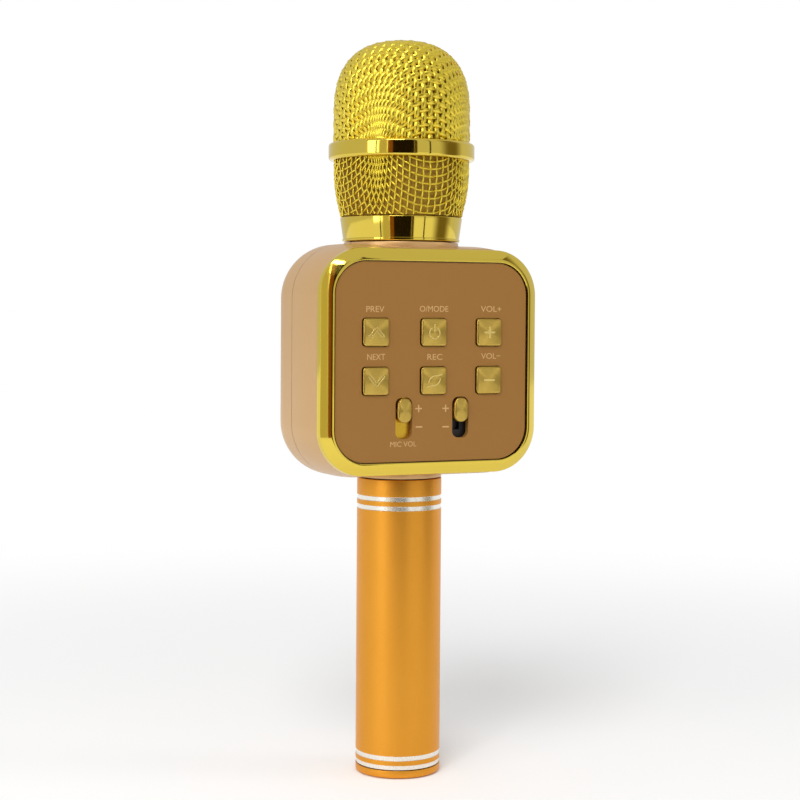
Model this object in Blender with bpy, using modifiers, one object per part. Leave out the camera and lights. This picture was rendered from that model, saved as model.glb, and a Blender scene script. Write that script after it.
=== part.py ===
"""Handheld karaoke microphone with a wide control box, built as separate pieces.

Run with: blender --background --python part.py

Frame: +Z up along the handle, the control face looks along -Y, and the origin is the centre of the flat
base of the handle. All values are in metres.
"""

import math

import bmesh
import bpy
from mathutils import Vector

MM = 0.001

# ---- Fits shared by every piece -------------------------------------------------------------------------
GAP = 0.3 * MM                 # between pieces that touch or slide on the real thing
TURNED_STEPS = 28              # facets around a turned piece
INNER_STEPS = 20               # facets around a turned piece that is hidden inside
CORNER_STEPS = 5               # facets in one corner of a rounded rectangle
REAR_STEPS = 5                 # facets from the box's side to its back

# ---- Handle ---------------------------------------------------------------------------------------------
HANDLE_RADIUS = 14.25 * MM
HANDLE_WALL = 1.5 * MM
HANDLE_TOP = 99.4 * MM
END_CAP_FLANGE = 2.6 * MM
END_CAP_SPIGOT = 6.4 * MM
EDGE_ROUNDING = 0.5 * MM
GROOVE_HEIGHTS = (6.65 * MM, 89.85 * MM, 92.95 * MM)   # polished grooves, above the one at the cap joint
GROOVE_WIDTH = 1.3 * MM
GROOVE_DEPTH = 0.2 * MM
CELL_RADIUS = 9.2 * MM         # 18650 cell with its sleeve film
CELL_LENGTH = 65.0 * MM
CELL_NUB_RADIUS = 2.8 * MM
CELL_NUB_HEIGHT = 0.8 * MM
SPRING_RADIUS = 4.5 * MM
SPRING_WIRE = 0.7 * MM
SPRING_HEIGHT = 3.6 * MM
SPRING_TURNS = 3
CONTACT_THICKNESS = 0.8 * MM
PLUG_LENGTH = 18.0 * MM        # handle plug's length inside the tube
PLUG_NECK_STEP = 1.5 * MM
PLUG_FLANGE = 2.0 * MM

# ---- Control box ----------------------------------------------------------------------------------------
BOX_WIDTH = 80.0 * MM          # at the seam, the widest section
BOX_HEIGHT = 76.8 * MM
BOX_CORNER = 18.0 * MM
BOX_CENTRE_Z = 138.9 * MM
BOX_FRONT = -20.4 * MM         # front wall of the front shell, behind the bezel
BOX_REAR = 22.0 * MM
SEAM_Y = -2.0 * MM
REAR_ROUNDING = 17.2 * MM
FRONT_TAPER = 1.3 * MM         # how far the front section stands in from the seam section
BOX_WALL = 2.0 * MM
NECK_BOSS_RADIUS = 19.3 * MM
NECK_BOSS_TOP = 178.1 * MM
NECK_BOSS_BOTTOM = 160.0 * MM
HANDLE_BOSS_TOP = 108.0 * MM

# ---- Bezel and panel ------------------------------------------------------------------------------------
BEZEL_WIDTH = 77.6 * MM
BEZEL_HEIGHT = 73.4 * MM
BEZEL_CORNER = 15.0 * MM
BEZEL_RIM = 4.1 * MM           # from the outer to the inner edge
BEZEL_LIP = 0.9 * MM           # flat crest next to the inner edge
BEZEL_CREST_Y = -25.6 * MM
BEZEL_SHOULDER_Y = -23.2 * MM
PANEL_FRONT = -25.0 * MM
PANEL_THICKNESS = 2.0 * MM
PANEL_CLEARANCE = 0.4 * MM
PLATEAU_INSET = 1.2 * MM       # front shell's raised seat, inside the bezel's inner edge

# ---- Keys -----------------------------------------------------------------------------------------------
KEY_COLUMNS = (-20.35 * MM, 0.2 * MM, 20.35 * MM)
KEY_ROWS = (148.5 * MM, 132.8 * MM)
KEY_NAMES = (("button_prev", "button_mode", "button_volume_up"),
             ("button_next", "button_record", "button_volume_down"))
KEY_WIDTH = 9.0 * MM
KEY_HEIGHT = 8.8 * MM
KEY_CORNER = 1.0 * MM
KEY_PROUD = 1.0 * MM
KEY_TRAVEL = 0.6 * MM
KEY_FLANGE = 0.8 * MM          # how far the retaining flange reaches past the cap, and its thickness
KEYPAD_THICKNESS = 1.3 * MM
DOME_RADIUS = 2.6 * MM

# ---- Sliders --------------------------------------------------------------------------------------------
SLIDER_COLUMNS = (-10.2 * MM, 10.2 * MM)
SLOT_CENTRE_Z = 120.75 * MM
SLOT_WIDTH = 5.9 * MM
SLOT_HEIGHT = 13.4 * MM
SLOT_CORNER = 2.2 * MM
KNOB_WIDTH = 5.0 * MM
KNOB_HEIGHT = 7.9 * MM
KNOB_CORNER = 1.9 * MM
KNOB_PROUD = 1.2 * MM
KNOB_STEM_WIDTH = 1.6 * MM
KNOB_STEM_HEIGHT = 3.0 * MM
FADER_WIDTH = 8.0 * MM
FADER_HEIGHT = 15.2 * MM
FADER_DEPTH = 3.6 * MM

# ---- Boards and sockets ---------------------------------------------------------------------------------
BOARD_THICKNESS = 1.6 * MM
WINDOW_MARGIN = 0.9 * MM       # window in the front wall, past the outermost flanges
CONTROL_BOARD_OVERLAP = 1.7 * MM   # past the window, above and below
MAIN_BOARD_FRONT = -9.0 * MM
MAIN_BOARD_HEIGHT = 44.0 * MM
SOCKET_LENGTH = 7.0 * MM
USB_SIZE = (2.9 * MM, 8.0 * MM)      # across the board, along the board
JACK_RADIUS = 2.9 * MM
JACK_BORE = 1.8 * MM
CARD_SIZE = (2.0 * MM, 12.0 * MM)
USB_Z = 152.0 * MM
JACK_Z = 140.0 * MM
CARD_Z = 127.0 * MM

# ---- Screws ---------------------------------------------------------------------------------------------
SCREW_X = 31.0 * MM
SCREW_Z = 29.0 * MM            # from the box's centre
SCREW_RADIUS = 1.3 * MM
SCREW_HEAD_RADIUS = 2.6 * MM
SCREW_HEAD_HEIGHT = 1.6 * MM
SCREW_SEAT_Y = 8.0 * MM
SCREW_TIP_Y = -12.0 * MM
SCREW_BOSS_RADIUS = 4.2 * MM

# ---- Speaker --------------------------------------------------------------------------------------------
SPEAKER_RADIUS = 19.6 * MM
SPEAKER_FLANGE = 1.3 * MM
SPEAKER_DEPTH = 10.5 * MM
SPEAKER_OPENING = 18.2 * MM
CONE_RADIUS = 16.0 * MM
MAGNET_RADIUS = 11.0 * MM
MAGNET_DEPTH = 5.5 * MM
GRILLE_DISC_RADIUS = 20.0 * MM
GRILLE_DISC_THICKNESS = 1.0 * MM
GRILLE_HOLE_RADIUS = 1.5 * MM
GRILLE_HOLE_RINGS = 3
GRILLE_HOLE_PITCH = 5.2 * MM

# ---- Grille head ----------------------------------------------------------------------------------------
COLLAR_BOTTOM = 178.4 * MM
COLLAR_TOP = 186.5 * MM
COLLAR_BOTTOM_RADIUS = 19.4 * MM
COLLAR_TOP_RADIUS = 20.5 * MM
COLLAR_BORE = 17.3 * MM
MESH_WALL = 1.2 * MM
BAND_BOTTOM = 205.5 * MM
BAND_TOP = 211.3 * MM
BAND_RADIUS = 24.5 * MM
BAND_WALL = 3.0 * MM
BAND_ROUNDING = 1.0 * MM
BASKET_TOP_RADIUS = 22.85 * MM
BASKET_BULGE = 0.75 * MM       # how far the lower basket swells past a straight cone
DOME_BASE_RADIUS = 22.9 * MM
DOME_STRAIGHT = 9.5 * MM       # height of the nearly straight part above the band
DOME_TOP = 245.6 * MM
DOME_POWER = 2.55              # squareness of the crown's superellipse
FOAM_CLEARANCE = 0.3 * MM
FOAM_BORE = 15.5 * MM
FOAM_BORE_TOP = 222.0 * MM

# ---- Capsule --------------------------------------------------------------------------------------------
SOCKET_NECK = 11.0 * MM        # grille socket's radius where it passes through the top of the box
SOCKET_TOP = 185.5 * MM
SOCKET_FLANGE_RADIUS = 13.5 * MM
SOCKET_FLANGE = 2.0 * MM
STEM_RADIUS = 5.0 * MM
STEM_TOP = 199.0 * MM
SHOCK_RADIUS = 13.0 * MM
SHOCK_HEIGHT = 3.6 * MM
CAPSULE_RADIUS = 12.2 * MM
CAPSULE_HEIGHT = 11.0 * MM

# ---- Finishes: colour, roughness, metallic --------------------------------------------------------------
FINISHES = {
    "anodised_gold": ((0.62, 0.30, 0.05), 0.32, 1.0),
    "chrome_gold": ((0.80, 0.58, 0.10), 0.10, 1.0),
    "champagne_paint": ((0.60, 0.40, 0.22), 0.35, 0.4),
    "panel_paint": ((0.34, 0.18, 0.06), 0.40, 0.3),
    "brushed_gold": ((0.75, 0.52, 0.16), 0.30, 1.0),
    "wire_gold": ((0.80, 0.55, 0.08), 0.20, 1.0),
    "foam": ((0.28, 0.18, 0.04), 0.95, 0.0),
    "black_plastic": ((0.02, 0.02, 0.02), 0.50, 0.0),
    "rubber": ((0.03, 0.03, 0.03), 0.80, 0.0),
    "board_green": ((0.01, 0.12, 0.04), 0.45, 0.0),
    "steel": ((0.60, 0.60, 0.60), 0.30, 1.0),
    "cell_wrap": ((0.02, 0.10, 0.35), 0.45, 0.0),
    "paper_cone": ((0.04, 0.04, 0.04), 0.85, 0.0),
    "ferrite": ((0.08, 0.08, 0.08), 0.60, 0.2),
}


# ---- Scene helpers --------------------------------------------------------------------------------------
def clear_scene():
    """Removes the startup objects and makes the two collections."""
    for obj in list(bpy.data.objects):
        bpy.data.objects.remove(obj)
    for name in ("karaoke_microphone", "cutters"):
        bpy.context.scene.collection.children.link(bpy.data.collections.new(name))


def material(finish):
    """The Principled material of one finish, made once."""
    if finish in bpy.data.materials:
        return bpy.data.materials[finish]
    colour, roughness, metallic = FINISHES[finish]
    made = bpy.data.materials.new(finish)
    made.use_nodes = True
    shader = made.node_tree.nodes["Principled BSDF"]
    shader.inputs["Base Color"].default_value = (*colour, 1.0)
    shader.inputs["Roughness"].default_value = roughness
    shader.inputs["Metallic"].default_value = metallic
    return made


def place(obj, name, collection):
    """Names an object and moves it into one of the two collections."""
    obj.name = name
    obj.data.name = name
    for owner in list(obj.users_collection):
        owner.objects.unlink(obj)
    bpy.data.collections[collection].objects.link(obj)
    return obj


def finish_part(obj, name, finish):
    """Makes an object a visible part of the microphone."""
    place(obj, name, "karaoke_microphone")
    obj.data.materials.clear()
    obj.data.materials.append(material(finish))
    obj.data.shade_smooth()
    obj.data.set_sharp_from_angle(angle=math.radians(35))
    return obj


def as_cutter(obj):
    """Hides a tool object from the render and the build."""
    place(obj, "cutter_" + obj.name, "cutters")
    obj.hide_render = True
    obj.display_type = "WIRE"
    return obj


def combine(obj, tool, operation):
    """Cuts or joins obj by a tool object, as a Boolean modifier."""
    boolean = obj.modifiers.new(operation.lower(), "BOOLEAN")
    boolean.operation = operation
    boolean.solver = "EXACT"
    boolean.object = as_cutter(tool)
    return obj


def cut(obj, *tools):
    """Subtracts each tool from obj."""
    for tool in tools:
        combine(obj, tool, "DIFFERENCE")
    return obj


def join(obj, *tools):
    """Adds each tool to obj."""
    for tool in tools:
        combine(obj, tool, "UNION")
    return obj


# ---- Shape helpers --------------------------------------------------------------------------------------
def new_object(name, data):
    """An object around some data, linked to the scene."""
    obj = bpy.data.objects.new(name, data)
    bpy.context.scene.collection.objects.link(obj)
    return obj


def turned(profile, closed=False, steps=TURNED_STEPS):
    """A solid of revolution about Z. The profile is (radius, height) points down its outer side."""
    mesh = bpy.data.meshes.new("turned")
    edges = [(i, i + 1) for i in range(len(profile) - 1)]
    if closed:
        edges.append((len(profile) - 1, 0))
    mesh.from_pydata([(r, 0.0, z) for r, z in profile], edges, [])
    obj = new_object("turned", mesh)
    screw = obj.modifiers.new("screw", "SCREW")
    screw.axis = "Z"
    screw.steps = steps
    screw.render_steps = steps
    screw.use_merge_vertices = True
    screw.merge_threshold = 0.00001
    return obj


def ring(outer, inner, bottom, top):
    """A plain turned ring, hidden inside."""
    return turned([(outer, top), (outer, bottom), (inner, bottom), (inner, top)], closed=True, steps=INNER_STEPS)


def disc(radius, bottom, top):
    """A plain turned disc or rod, hidden inside."""
    return turned([(0.0, top), (radius, top), (radius, bottom), (0.0, bottom)], steps=INNER_STEPS)


def box(x_range, y_range, z_range):
    """A box between two corners."""
    ranges = (x_range, y_range, z_range)
    bpy.ops.mesh.primitive_cube_add(size=1.0, location=[(low + high) / 2 for low, high in ranges])
    obj = bpy.context.object
    obj.scale = [high - low for low, high in ranges]
    bpy.ops.object.transform_apply(location=False, rotation=False, scale=True)
    return obj


def rod(radius, start, end, vertices=TURNED_STEPS):
    """A cylinder between two points."""
    start, end = Vector(start), Vector(end)
    along = end - start
    bpy.ops.mesh.primitive_cylinder_add(vertices=vertices, radius=radius, depth=along.length,
                                        location=(start + end) / 2)
    obj = bpy.context.object
    obj.rotation_euler = along.to_track_quat("Z", "Y").to_euler()
    return obj


def rounded_rectangle(width, height, radius, steps=CORNER_STEPS):
    """Points (x, z) of a rounded rectangle about the origin, anticlockwise seen along +Y."""
    points = []
    for quarter, (sx, sz) in enumerate(((1, 1), (-1, 1), (-1, -1), (1, -1))):
        cx, cz = sx * (width / 2 - radius), sz * (height / 2 - radius)
        for step in range(steps + 1):
            angle = (quarter + step / steps) * math.pi / 2
            points.append((cx + radius * math.cos(angle), cz + radius * math.sin(angle)))
    return points


def section(width, height, radius, y, centre_z=BOX_CENTRE_Z):
    """A rounded rectangle in the plane at y, as 3-D points."""
    return [(x, y, centre_z + z) for x, z in rounded_rectangle(width, height, radius)]


def loft(sections, ring_shaped=False):
    """A solid through rounded rectangles of the same point count, from front to back. A ring-shaped loft
    closes on its first section; any other is capped at both ends."""
    shape = bmesh.new()
    rings = [[shape.verts.new(point) for point in points] for points in sections]
    count = len(rings[0])
    pairs = list(zip(rings, rings[1:]))
    if ring_shaped:
        pairs.append((rings[-1], rings[0]))
    else:
        shape.faces.new(rings[0])
        shape.faces.new(rings[-1])
    for near, far in pairs:
        for i in range(count):
            j = (i + 1) % count
            shape.faces.new((near[i], near[j], far[j], far[i]))
    bmesh.ops.recalc_face_normals(shape, faces=shape.faces)
    mesh = bpy.data.meshes.new("loft")
    shape.to_mesh(mesh)
    shape.free()
    return new_object("loft", mesh)


def plate(outline, y_front, y_back, centre=(0.0, BOX_CENTRE_Z), holes=()):
    """A flat plate facing -Y from an outline and holes of (x, z) points, made from a filled 2-D curve."""
    curve = bpy.data.curves.new("plate", "CURVE")
    curve.dimensions = "2D"
    curve.fill_mode = "BOTH"
    curve.extrude = (y_back - y_front) / 2
    for points in (outline, *holes):
        spline = curve.splines.new("POLY")
        spline.points.add(len(points) - 1)
        for point, (x, z) in zip(spline.points, points):
            point.co = (x, z, 0.0, 1.0)
        spline.use_cyclic_u = True
    obj = new_object("plate_curve", curve)
    obj.rotation_euler = (math.pi / 2, 0.0, 0.0)
    obj.location = (centre[0], (y_front + y_back) / 2, centre[1])
    return curve_to_mesh(obj)


def curve_to_mesh(obj):
    """Turns a curve object into a mesh object with its caps welded on."""
    bpy.context.view_layer.update()
    mesh = bpy.data.meshes.new_from_object(obj.evaluated_get(bpy.context.evaluated_depsgraph_get()))
    shape = bmesh.new()
    shape.from_mesh(mesh)
    bmesh.ops.remove_doubles(shape, verts=shape.verts, dist=0.000001)
    bmesh.ops.recalc_face_normals(shape, faces=shape.faces)
    shape.to_mesh(mesh)
    shape.free()
    made = new_object("from_curve", mesh)
    made.matrix_world = obj.matrix_world
    bpy.data.objects.remove(obj)
    return made


def soften(obj, width, segments=1):
    """A Bevel on the sharp edges of a piece."""
    bevel = obj.modifiers.new("bevel", "BEVEL")
    bevel.width = width
    bevel.segments = segments
    bevel.limit_method = "ANGLE"
    bevel.angle_limit = math.radians(40)
    return obj


def facing_back(obj, y):
    """Turns a piece modelled about Z so that its +Z points along +Y, centred on the box at y."""
    obj.rotation_euler = (-math.pi / 2, 0.0, 0.0)
    obj.location = (0.0, y, BOX_CENTRE_Z)
    return obj


# ---- Handle ---------------------------------------------------------------------------------------------
def handle_inside():
    """Radius of what slides into the handle tube."""
    return HANDLE_RADIUS - HANDLE_WALL - GAP


def build_end_cap():
    """Screw-in cap that closes the tube and is the flat base."""
    top = END_CAP_FLANGE + END_CAP_SPIGOT
    return turned([(0.0, top), (handle_inside(), top), (handle_inside(), END_CAP_FLANGE),
                   (HANDLE_RADIUS, END_CAP_FLANGE), (HANDLE_RADIUS, EDGE_ROUNDING),
                   (HANDLE_RADIUS - EDGE_ROUNDING, 0.0), (0.0, 0.0)])


def groove(height):
    """Outline of one V-sided groove, from its top edge down."""
    half = GROOVE_WIDTH / 2
    floor = HANDLE_RADIUS - GROOVE_DEPTH
    return [(HANDLE_RADIUS, height + half), (floor, height + half / 2),
            (floor, height - half / 2), (HANDLE_RADIUS, height - half)]


def build_handle_tube():
    """Aluminium tube with its polished grooves."""
    bore = HANDLE_RADIUS - HANDLE_WALL
    bottom = END_CAP_FLANGE + GAP
    outline = [(bore, HANDLE_TOP), (HANDLE_RADIUS, HANDLE_TOP)]
    for height in sorted(GROOVE_HEIGHTS, reverse=True):
        outline += groove(height)
    outline += [(HANDLE_RADIUS, bottom + GROOVE_WIDTH), (HANDLE_RADIUS - GROOVE_DEPTH, bottom + GROOVE_WIDTH / 2),
                (HANDLE_RADIUS - GROOVE_DEPTH, bottom), (bore, bottom)]
    return turned(outline, closed=True)


def spring_bottom():
    """Height of the spring's seat on the end cap."""
    return END_CAP_FLANGE + END_CAP_SPIGOT + GAP


def cell_bottom():
    """Height of the cell's flat end, on the spring."""
    return spring_bottom() + SPRING_HEIGHT + GAP


def build_contact_spring():
    """Battery spring: a short coil of wire on the end cap."""
    curve = bpy.data.curves.new("spring", "CURVE")
    curve.dimensions = "3D"
    curve.bevel_depth = SPRING_WIRE / 2
    curve.bevel_resolution = 0
    curve.use_fill_caps = True
    spline = curve.splines.new("POLY")
    per_turn = 10
    count = SPRING_TURNS * per_turn
    spline.points.add(count)
    rise = SPRING_HEIGHT - SPRING_WIRE
    for i, point in enumerate(spline.points):
        angle = 2 * math.pi * i / per_turn
        height = spring_bottom() + SPRING_WIRE / 2 + rise * i / count
        point.co = (SPRING_RADIUS * math.cos(angle), SPRING_RADIUS * math.sin(angle), height, 1.0)
    return curve_to_mesh(new_object("spring", curve))


def build_battery_cell():
    """One 18650 cell with its raised positive end upwards."""
    low = cell_bottom()
    high = low + CELL_LENGTH - CELL_NUB_HEIGHT
    return turned([(0.0, high + CELL_NUB_HEIGHT), (CELL_NUB_RADIUS, high + CELL_NUB_HEIGHT),
                   (CELL_NUB_RADIUS, high), (CELL_RADIUS, high), (CELL_RADIUS, low), (0.0, low)], steps=INNER_STEPS)


def contact_bottom():
    """Underside of the positive contact, over the cell's raised end."""
    return cell_bottom() + CELL_LENGTH + GAP


def build_battery_sleeve():
    """Plastic sleeve that holds the cell in the middle of the tube."""
    return ring(handle_inside(), CELL_RADIUS + GAP, spring_bottom(), contact_bottom() - GAP)


def build_contact_plate():
    """Positive contact disc on top of the sleeve."""
    return disc(handle_inside(), contact_bottom(), contact_bottom() + CONTACT_THICKNESS)


def build_handle_plug():
    """Plug that joins the tube to the box: a body inside the tube, a neck through the box's floor and a
    flange inside the box."""
    bottom = HANDLE_TOP - PLUG_LENGTH
    seat = box_floor() + BOX_WALL + cavity_drop(handle_inside()) + GAP
    top = seat + PLUG_FLANGE
    neck = plug_neck_radius()
    return turned([(0.0, top), (handle_inside(), top), (handle_inside(), seat), (neck, seat), (neck, HANDLE_TOP),
                   (handle_inside(), HANDLE_TOP), (handle_inside(), bottom), (0.0, bottom)], steps=INNER_STEPS)


def plug_neck_radius():
    """Radius of the plug where it passes through the box's floor."""
    return handle_inside() - PLUG_NECK_STEP


# ---- Box shells -----------------------------------------------------------------------------------------
def box_floor():
    """Height of the lowest point of the box."""
    return BOX_CENTRE_Z - BOX_HEIGHT / 2


def cavity_drop(radius):
    """How far the cavity's roof or floor has closed in at the rear of an upright round piece, because of
    the rounded back. The facets of the rounding take a little more."""
    reach = REAR_ROUNDING - BOX_WALL
    beyond = max(radius - (BOX_REAR - REAR_ROUNDING), 0.0)
    facets = reach * (1 - math.cos(math.pi / 4 / REAR_STEPS))
    return reach - math.sqrt(reach ** 2 - beyond ** 2) + facets


def box_section(inset, y):
    """The box's outline, drawn in by an inset."""
    radius = max(BOX_CORNER - inset, 0.6 * MM)
    return section(BOX_WIDTH - 2 * inset, BOX_HEIGHT - 2 * inset, radius, y)


def front_sections(wall, y_front, y_back):
    """Sections of the front half, which swells gently towards the seam."""
    steps = 4
    sections = []
    for step in range(steps + 1):
        share = step / steps
        swell = FRONT_TAPER * (1 - share) ** 2
        sections.append(box_section(wall + swell, y_front + (y_back - y_front) * share))
    return sections


def rear_sections(wall, y_front):
    """Sections of the rear half, from the seam round to the flat back."""
    centre_y = BOX_REAR - REAR_ROUNDING
    sections = [box_section(wall, y_front)]
    for step in range(REAR_STEPS + 1):
        angle = math.pi / 2 * step / REAR_STEPS
        reach = REAR_ROUNDING - wall
        inset = wall + reach * (1 - math.cos(angle))
        sections.append(box_section(inset, centre_y + reach * math.sin(angle)))
    return sections


def boss(radius, bottom, top, front):
    """Half of an upright round boss that both shells share, as far as the seam."""
    half = rod(radius, (0, 0, bottom), (0, 0, top))
    y_range = (SEAM_Y - GAP / 2, 1.0) if front else (-1.0, SEAM_Y + GAP / 2)
    return cut(half, box((-1.0, 1.0), y_range, (-1.0, 1.0)))


def screw_places():
    """Centres (x, z) of the four case screws."""
    return [(sx * SCREW_X, BOX_CENTRE_Z + sz * SCREW_Z) for sx in (-1, 1) for sz in (-1, 1)]


def window():
    """(x range, z range) of the opening behind the keys and sliders."""
    reach = KEY_COLUMNS[2] + KEY_WIDTH / 2 + KEY_FLANGE + WINDOW_MARGIN / 2
    top = KEY_ROWS[0] + KEY_HEIGHT / 2 + KEY_FLANGE + WINDOW_MARGIN
    return (-reach, reach), (fader_range()[0] - WINDOW_MARGIN, top)


def build_front_shell():
    """Front half of the case: swelling side walls, a front wall with a raised seat for the panel, a window
    for the keys and sliders, openings for the sockets, and bosses for the screws."""
    back = SEAM_Y - GAP / 2
    shell = loft(front_sections(0.0, BOX_FRONT, back))
    inner = BEZEL_RIM + PLATEAU_INSET
    seat = plate(rounded_rectangle(BEZEL_WIDTH - 2 * inner, BEZEL_HEIGHT - 2 * inner, BEZEL_CORNER - inner),
                 PANEL_FRONT + PANEL_THICKNESS + GAP, BOX_FRONT + BOX_WALL / 2)
    join(shell, seat, boss(NECK_BOSS_RADIUS, NECK_BOSS_BOTTOM, NECK_BOSS_TOP, True),
         boss(HANDLE_RADIUS, HANDLE_TOP + GAP, HANDLE_BOSS_TOP, True))
    cut(shell, loft(front_sections(BOX_WALL, BOX_FRONT + BOX_WALL, back + BOX_WALL)))
    for x, z in screw_places():
        join(shell, rod(SCREW_BOSS_RADIUS, (x, BOX_FRONT + BOX_WALL / 2, z), (x, back - GAP, z), 20))
    for x, z in screw_places():
        cut(shell, rod(SCREW_RADIUS + GAP, (x, SCREW_TIP_Y - 1.5 * MM, z), (x, 1.0, z), 12))
    x_range, z_range = window()
    cut(shell, box(x_range, (-1.0, BOX_FRONT + 2 * BOX_WALL), z_range))
    cut(shell, *socket_holes(), *axis_holes())
    return shell


def axis_holes():
    """Round holes for the handle plug's neck and the grille socket."""
    plug = rod(plug_neck_radius() + GAP, (0, 0, 0), (0, 0, BOX_CENTRE_Z))
    socket = rod(SOCKET_NECK + GAP, (0, 0, BOX_CENTRE_Z), (0, 0, 1.0))
    return plug, socket


def build_rear_shell():
    """Rear half of the case: a deep rounded tray with the speaker opening and the screw pillars."""
    front = SEAM_Y + GAP / 2
    shell = loft(rear_sections(0.0, front))
    join(shell, boss(NECK_BOSS_RADIUS, NECK_BOSS_BOTTOM, NECK_BOSS_TOP, False),
         boss(HANDLE_RADIUS, HANDLE_TOP + GAP, HANDLE_BOSS_TOP, False))
    cut(shell, loft(rear_sections(BOX_WALL, front - BOX_WALL)))
    for x, z in screw_places():
        join(shell, rod(SCREW_BOSS_RADIUS, (x, front + GAP, z), (x, SCREW_SEAT_Y + 4.0 * MM, z), 20))
    for x, z in screw_places():
        cut(shell, rod(SCREW_RADIUS + GAP, (x, -1.0, z), (x, 1.0, z), 12),
            rod(SCREW_HEAD_RADIUS + GAP, (x, SCREW_SEAT_Y, z), (x, 1.0, z), 20))
    centre = BOX_CENTRE_Z
    cut(shell, rod(SPEAKER_OPENING, (0, 0, centre), (0, 1.0, centre)),
        rod(GRILLE_DISC_RADIUS + GAP, (0, BOX_REAR - GRILLE_DISC_THICKNESS - GAP, centre), (0, 1.0, centre)))
    cut(shell, *axis_holes())
    return shell


def build_case_screw(x, z):
    """Countersunk case screw, driven from the back."""
    head = SCREW_SEAT_Y + GAP
    screw = turned([(0.0, head + SCREW_HEAD_HEIGHT), (SCREW_HEAD_RADIUS * 0.8, head + SCREW_HEAD_HEIGHT),
                    (SCREW_HEAD_RADIUS, head + SCREW_HEAD_HEIGHT / 2), (SCREW_HEAD_RADIUS, head),
                    (SCREW_RADIUS, head), (SCREW_RADIUS, SCREW_TIP_Y), (0.0, SCREW_TIP_Y)], steps=16)
    screw.rotation_euler = (-math.pi / 2, 0.0, 0.0)
    screw.location = (x, 0.0, z)
    return screw


# ---- Bezel and panel ------------------------------------------------------------------------------------
def build_front_bezel():
    """Plated frame: a straight side, a broad slanted face, a narrow crest and a straight inner edge."""
    def frame(inset, y):
        return section(BEZEL_WIDTH - 2 * inset, BEZEL_HEIGHT - 2 * inset, BEZEL_CORNER - inset, y)
    back = BOX_FRONT - GAP
    crest = BEZEL_RIM - BEZEL_LIP
    return loft([frame(0.0, back), frame(0.0, BEZEL_SHOULDER_Y), frame(0.4 * MM, BEZEL_SHOULDER_Y - 0.4 * MM),
                 frame(crest, BEZEL_CREST_Y), frame(BEZEL_RIM, BEZEL_CREST_Y), frame(BEZEL_RIM, back)],
                ring_shaped=True)


def key_hole(x, z):
    """Outline of one key's hole in the panel, relative to the box's centre."""
    hole = rounded_rectangle(KEY_WIDTH + 2 * GAP, KEY_HEIGHT + 2 * GAP, KEY_CORNER + GAP, 3)
    return [(x + dx, z - BOX_CENTRE_Z + dz) for dx, dz in hole]


def build_front_panel():
    """Painted control plate with the key holes and the two slots."""
    edge = BEZEL_RIM + PANEL_CLEARANCE
    holes = [key_hole(x, z) for z in KEY_ROWS for x in KEY_COLUMNS]
    slot = rounded_rectangle(SLOT_WIDTH, SLOT_HEIGHT, SLOT_CORNER, 4)
    holes += [[(x + dx, SLOT_CENTRE_Z - BOX_CENTRE_Z + dz) for dx, dz in slot] for x in SLIDER_COLUMNS]
    return plate(rounded_rectangle(BEZEL_WIDTH - 2 * edge, BEZEL_HEIGHT - 2 * edge, BEZEL_CORNER - edge),
                 PANEL_FRONT, PANEL_FRONT + PANEL_THICKNESS, holes=holes)


# ---- Keys and sliders -----------------------------------------------------------------------------------
def flange_back():
    """Rear face of a key's flange, at rest."""
    return PANEL_FRONT + PANEL_THICKNESS + GAP + KEY_FLANGE


def build_key(x, z):
    """Key cap with a retaining flange behind the panel."""
    cap = plate(rounded_rectangle(KEY_WIDTH, KEY_HEIGHT, KEY_CORNER, 3),
                PANEL_FRONT - KEY_PROUD, flange_back() - KEY_FLANGE / 2, centre=(x, z))
    flange = plate(rounded_rectangle(KEY_WIDTH + 2 * KEY_FLANGE, KEY_HEIGHT + 2 * KEY_FLANGE, KEY_CORNER, 3),
                   flange_back() - KEY_FLANGE, flange_back(), centre=(x, z))
    return join(cap, flange)


def board_front():
    """Front face of the control board, behind the front wall."""
    return BOX_FRONT + BOX_WALL + GAP


def build_keypad():
    """Silicone mat with a dome under each key."""
    sheet_back = board_front() - GAP
    sheet_front = sheet_back - KEYPAD_THICKNESS
    reach = window()[0][1] - GAP
    low = fader_range()[1] + GAP
    high = window()[1][1] - GAP
    mat = box((-reach, reach), (sheet_front, sheet_back), (low, high))
    dome_front = flange_back() + KEY_TRAVEL + GAP
    for z in KEY_ROWS:
        for x in KEY_COLUMNS:
            join(mat, rod(DOME_RADIUS, (x, dome_front, z), (x, sheet_back - KEYPAD_THICKNESS / 2, z), 16))
    return mat


def slider_travel():
    """How far a knob can go in its slot, with the clearance at both ends."""
    return SLOT_HEIGHT - KNOB_HEIGHT - 2 * GAP


def knob_centre_z():
    """Height of a knob's centre at its upper stop, where it rests."""
    return SLOT_CENTRE_Z + SLOT_HEIGHT / 2 - GAP - KNOB_HEIGHT / 2


def fader_range():
    """(lowest, highest) of a fader's body, which ends under the lower keys' flanges."""
    top = KEY_ROWS[1] - KEY_HEIGHT / 2 - KEY_FLANGE + GAP
    return top - FADER_HEIGHT, top


def fader_floor():
    """Depth of the groove in a fader, in which its knob's stem runs."""
    return board_front() - GAP - FADER_DEPTH / 2


def build_fader(x):
    """Slide potentiometer on the control board, with the groove for the knob's stem."""
    back = board_front() - GAP
    low, high = fader_range()
    body = box((x - FADER_WIDTH / 2, x + FADER_WIDTH / 2), (back - FADER_DEPTH, back), (low, high))
    half = KNOB_STEM_WIDTH / 2 + GAP
    reach = KNOB_STEM_HEIGHT / 2 + GAP
    groove_low = knob_centre_z() - slider_travel() - reach
    return cut(body, box((x - half, x + half), (-1.0, fader_floor()), (groove_low, knob_centre_z() + reach)))


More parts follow.
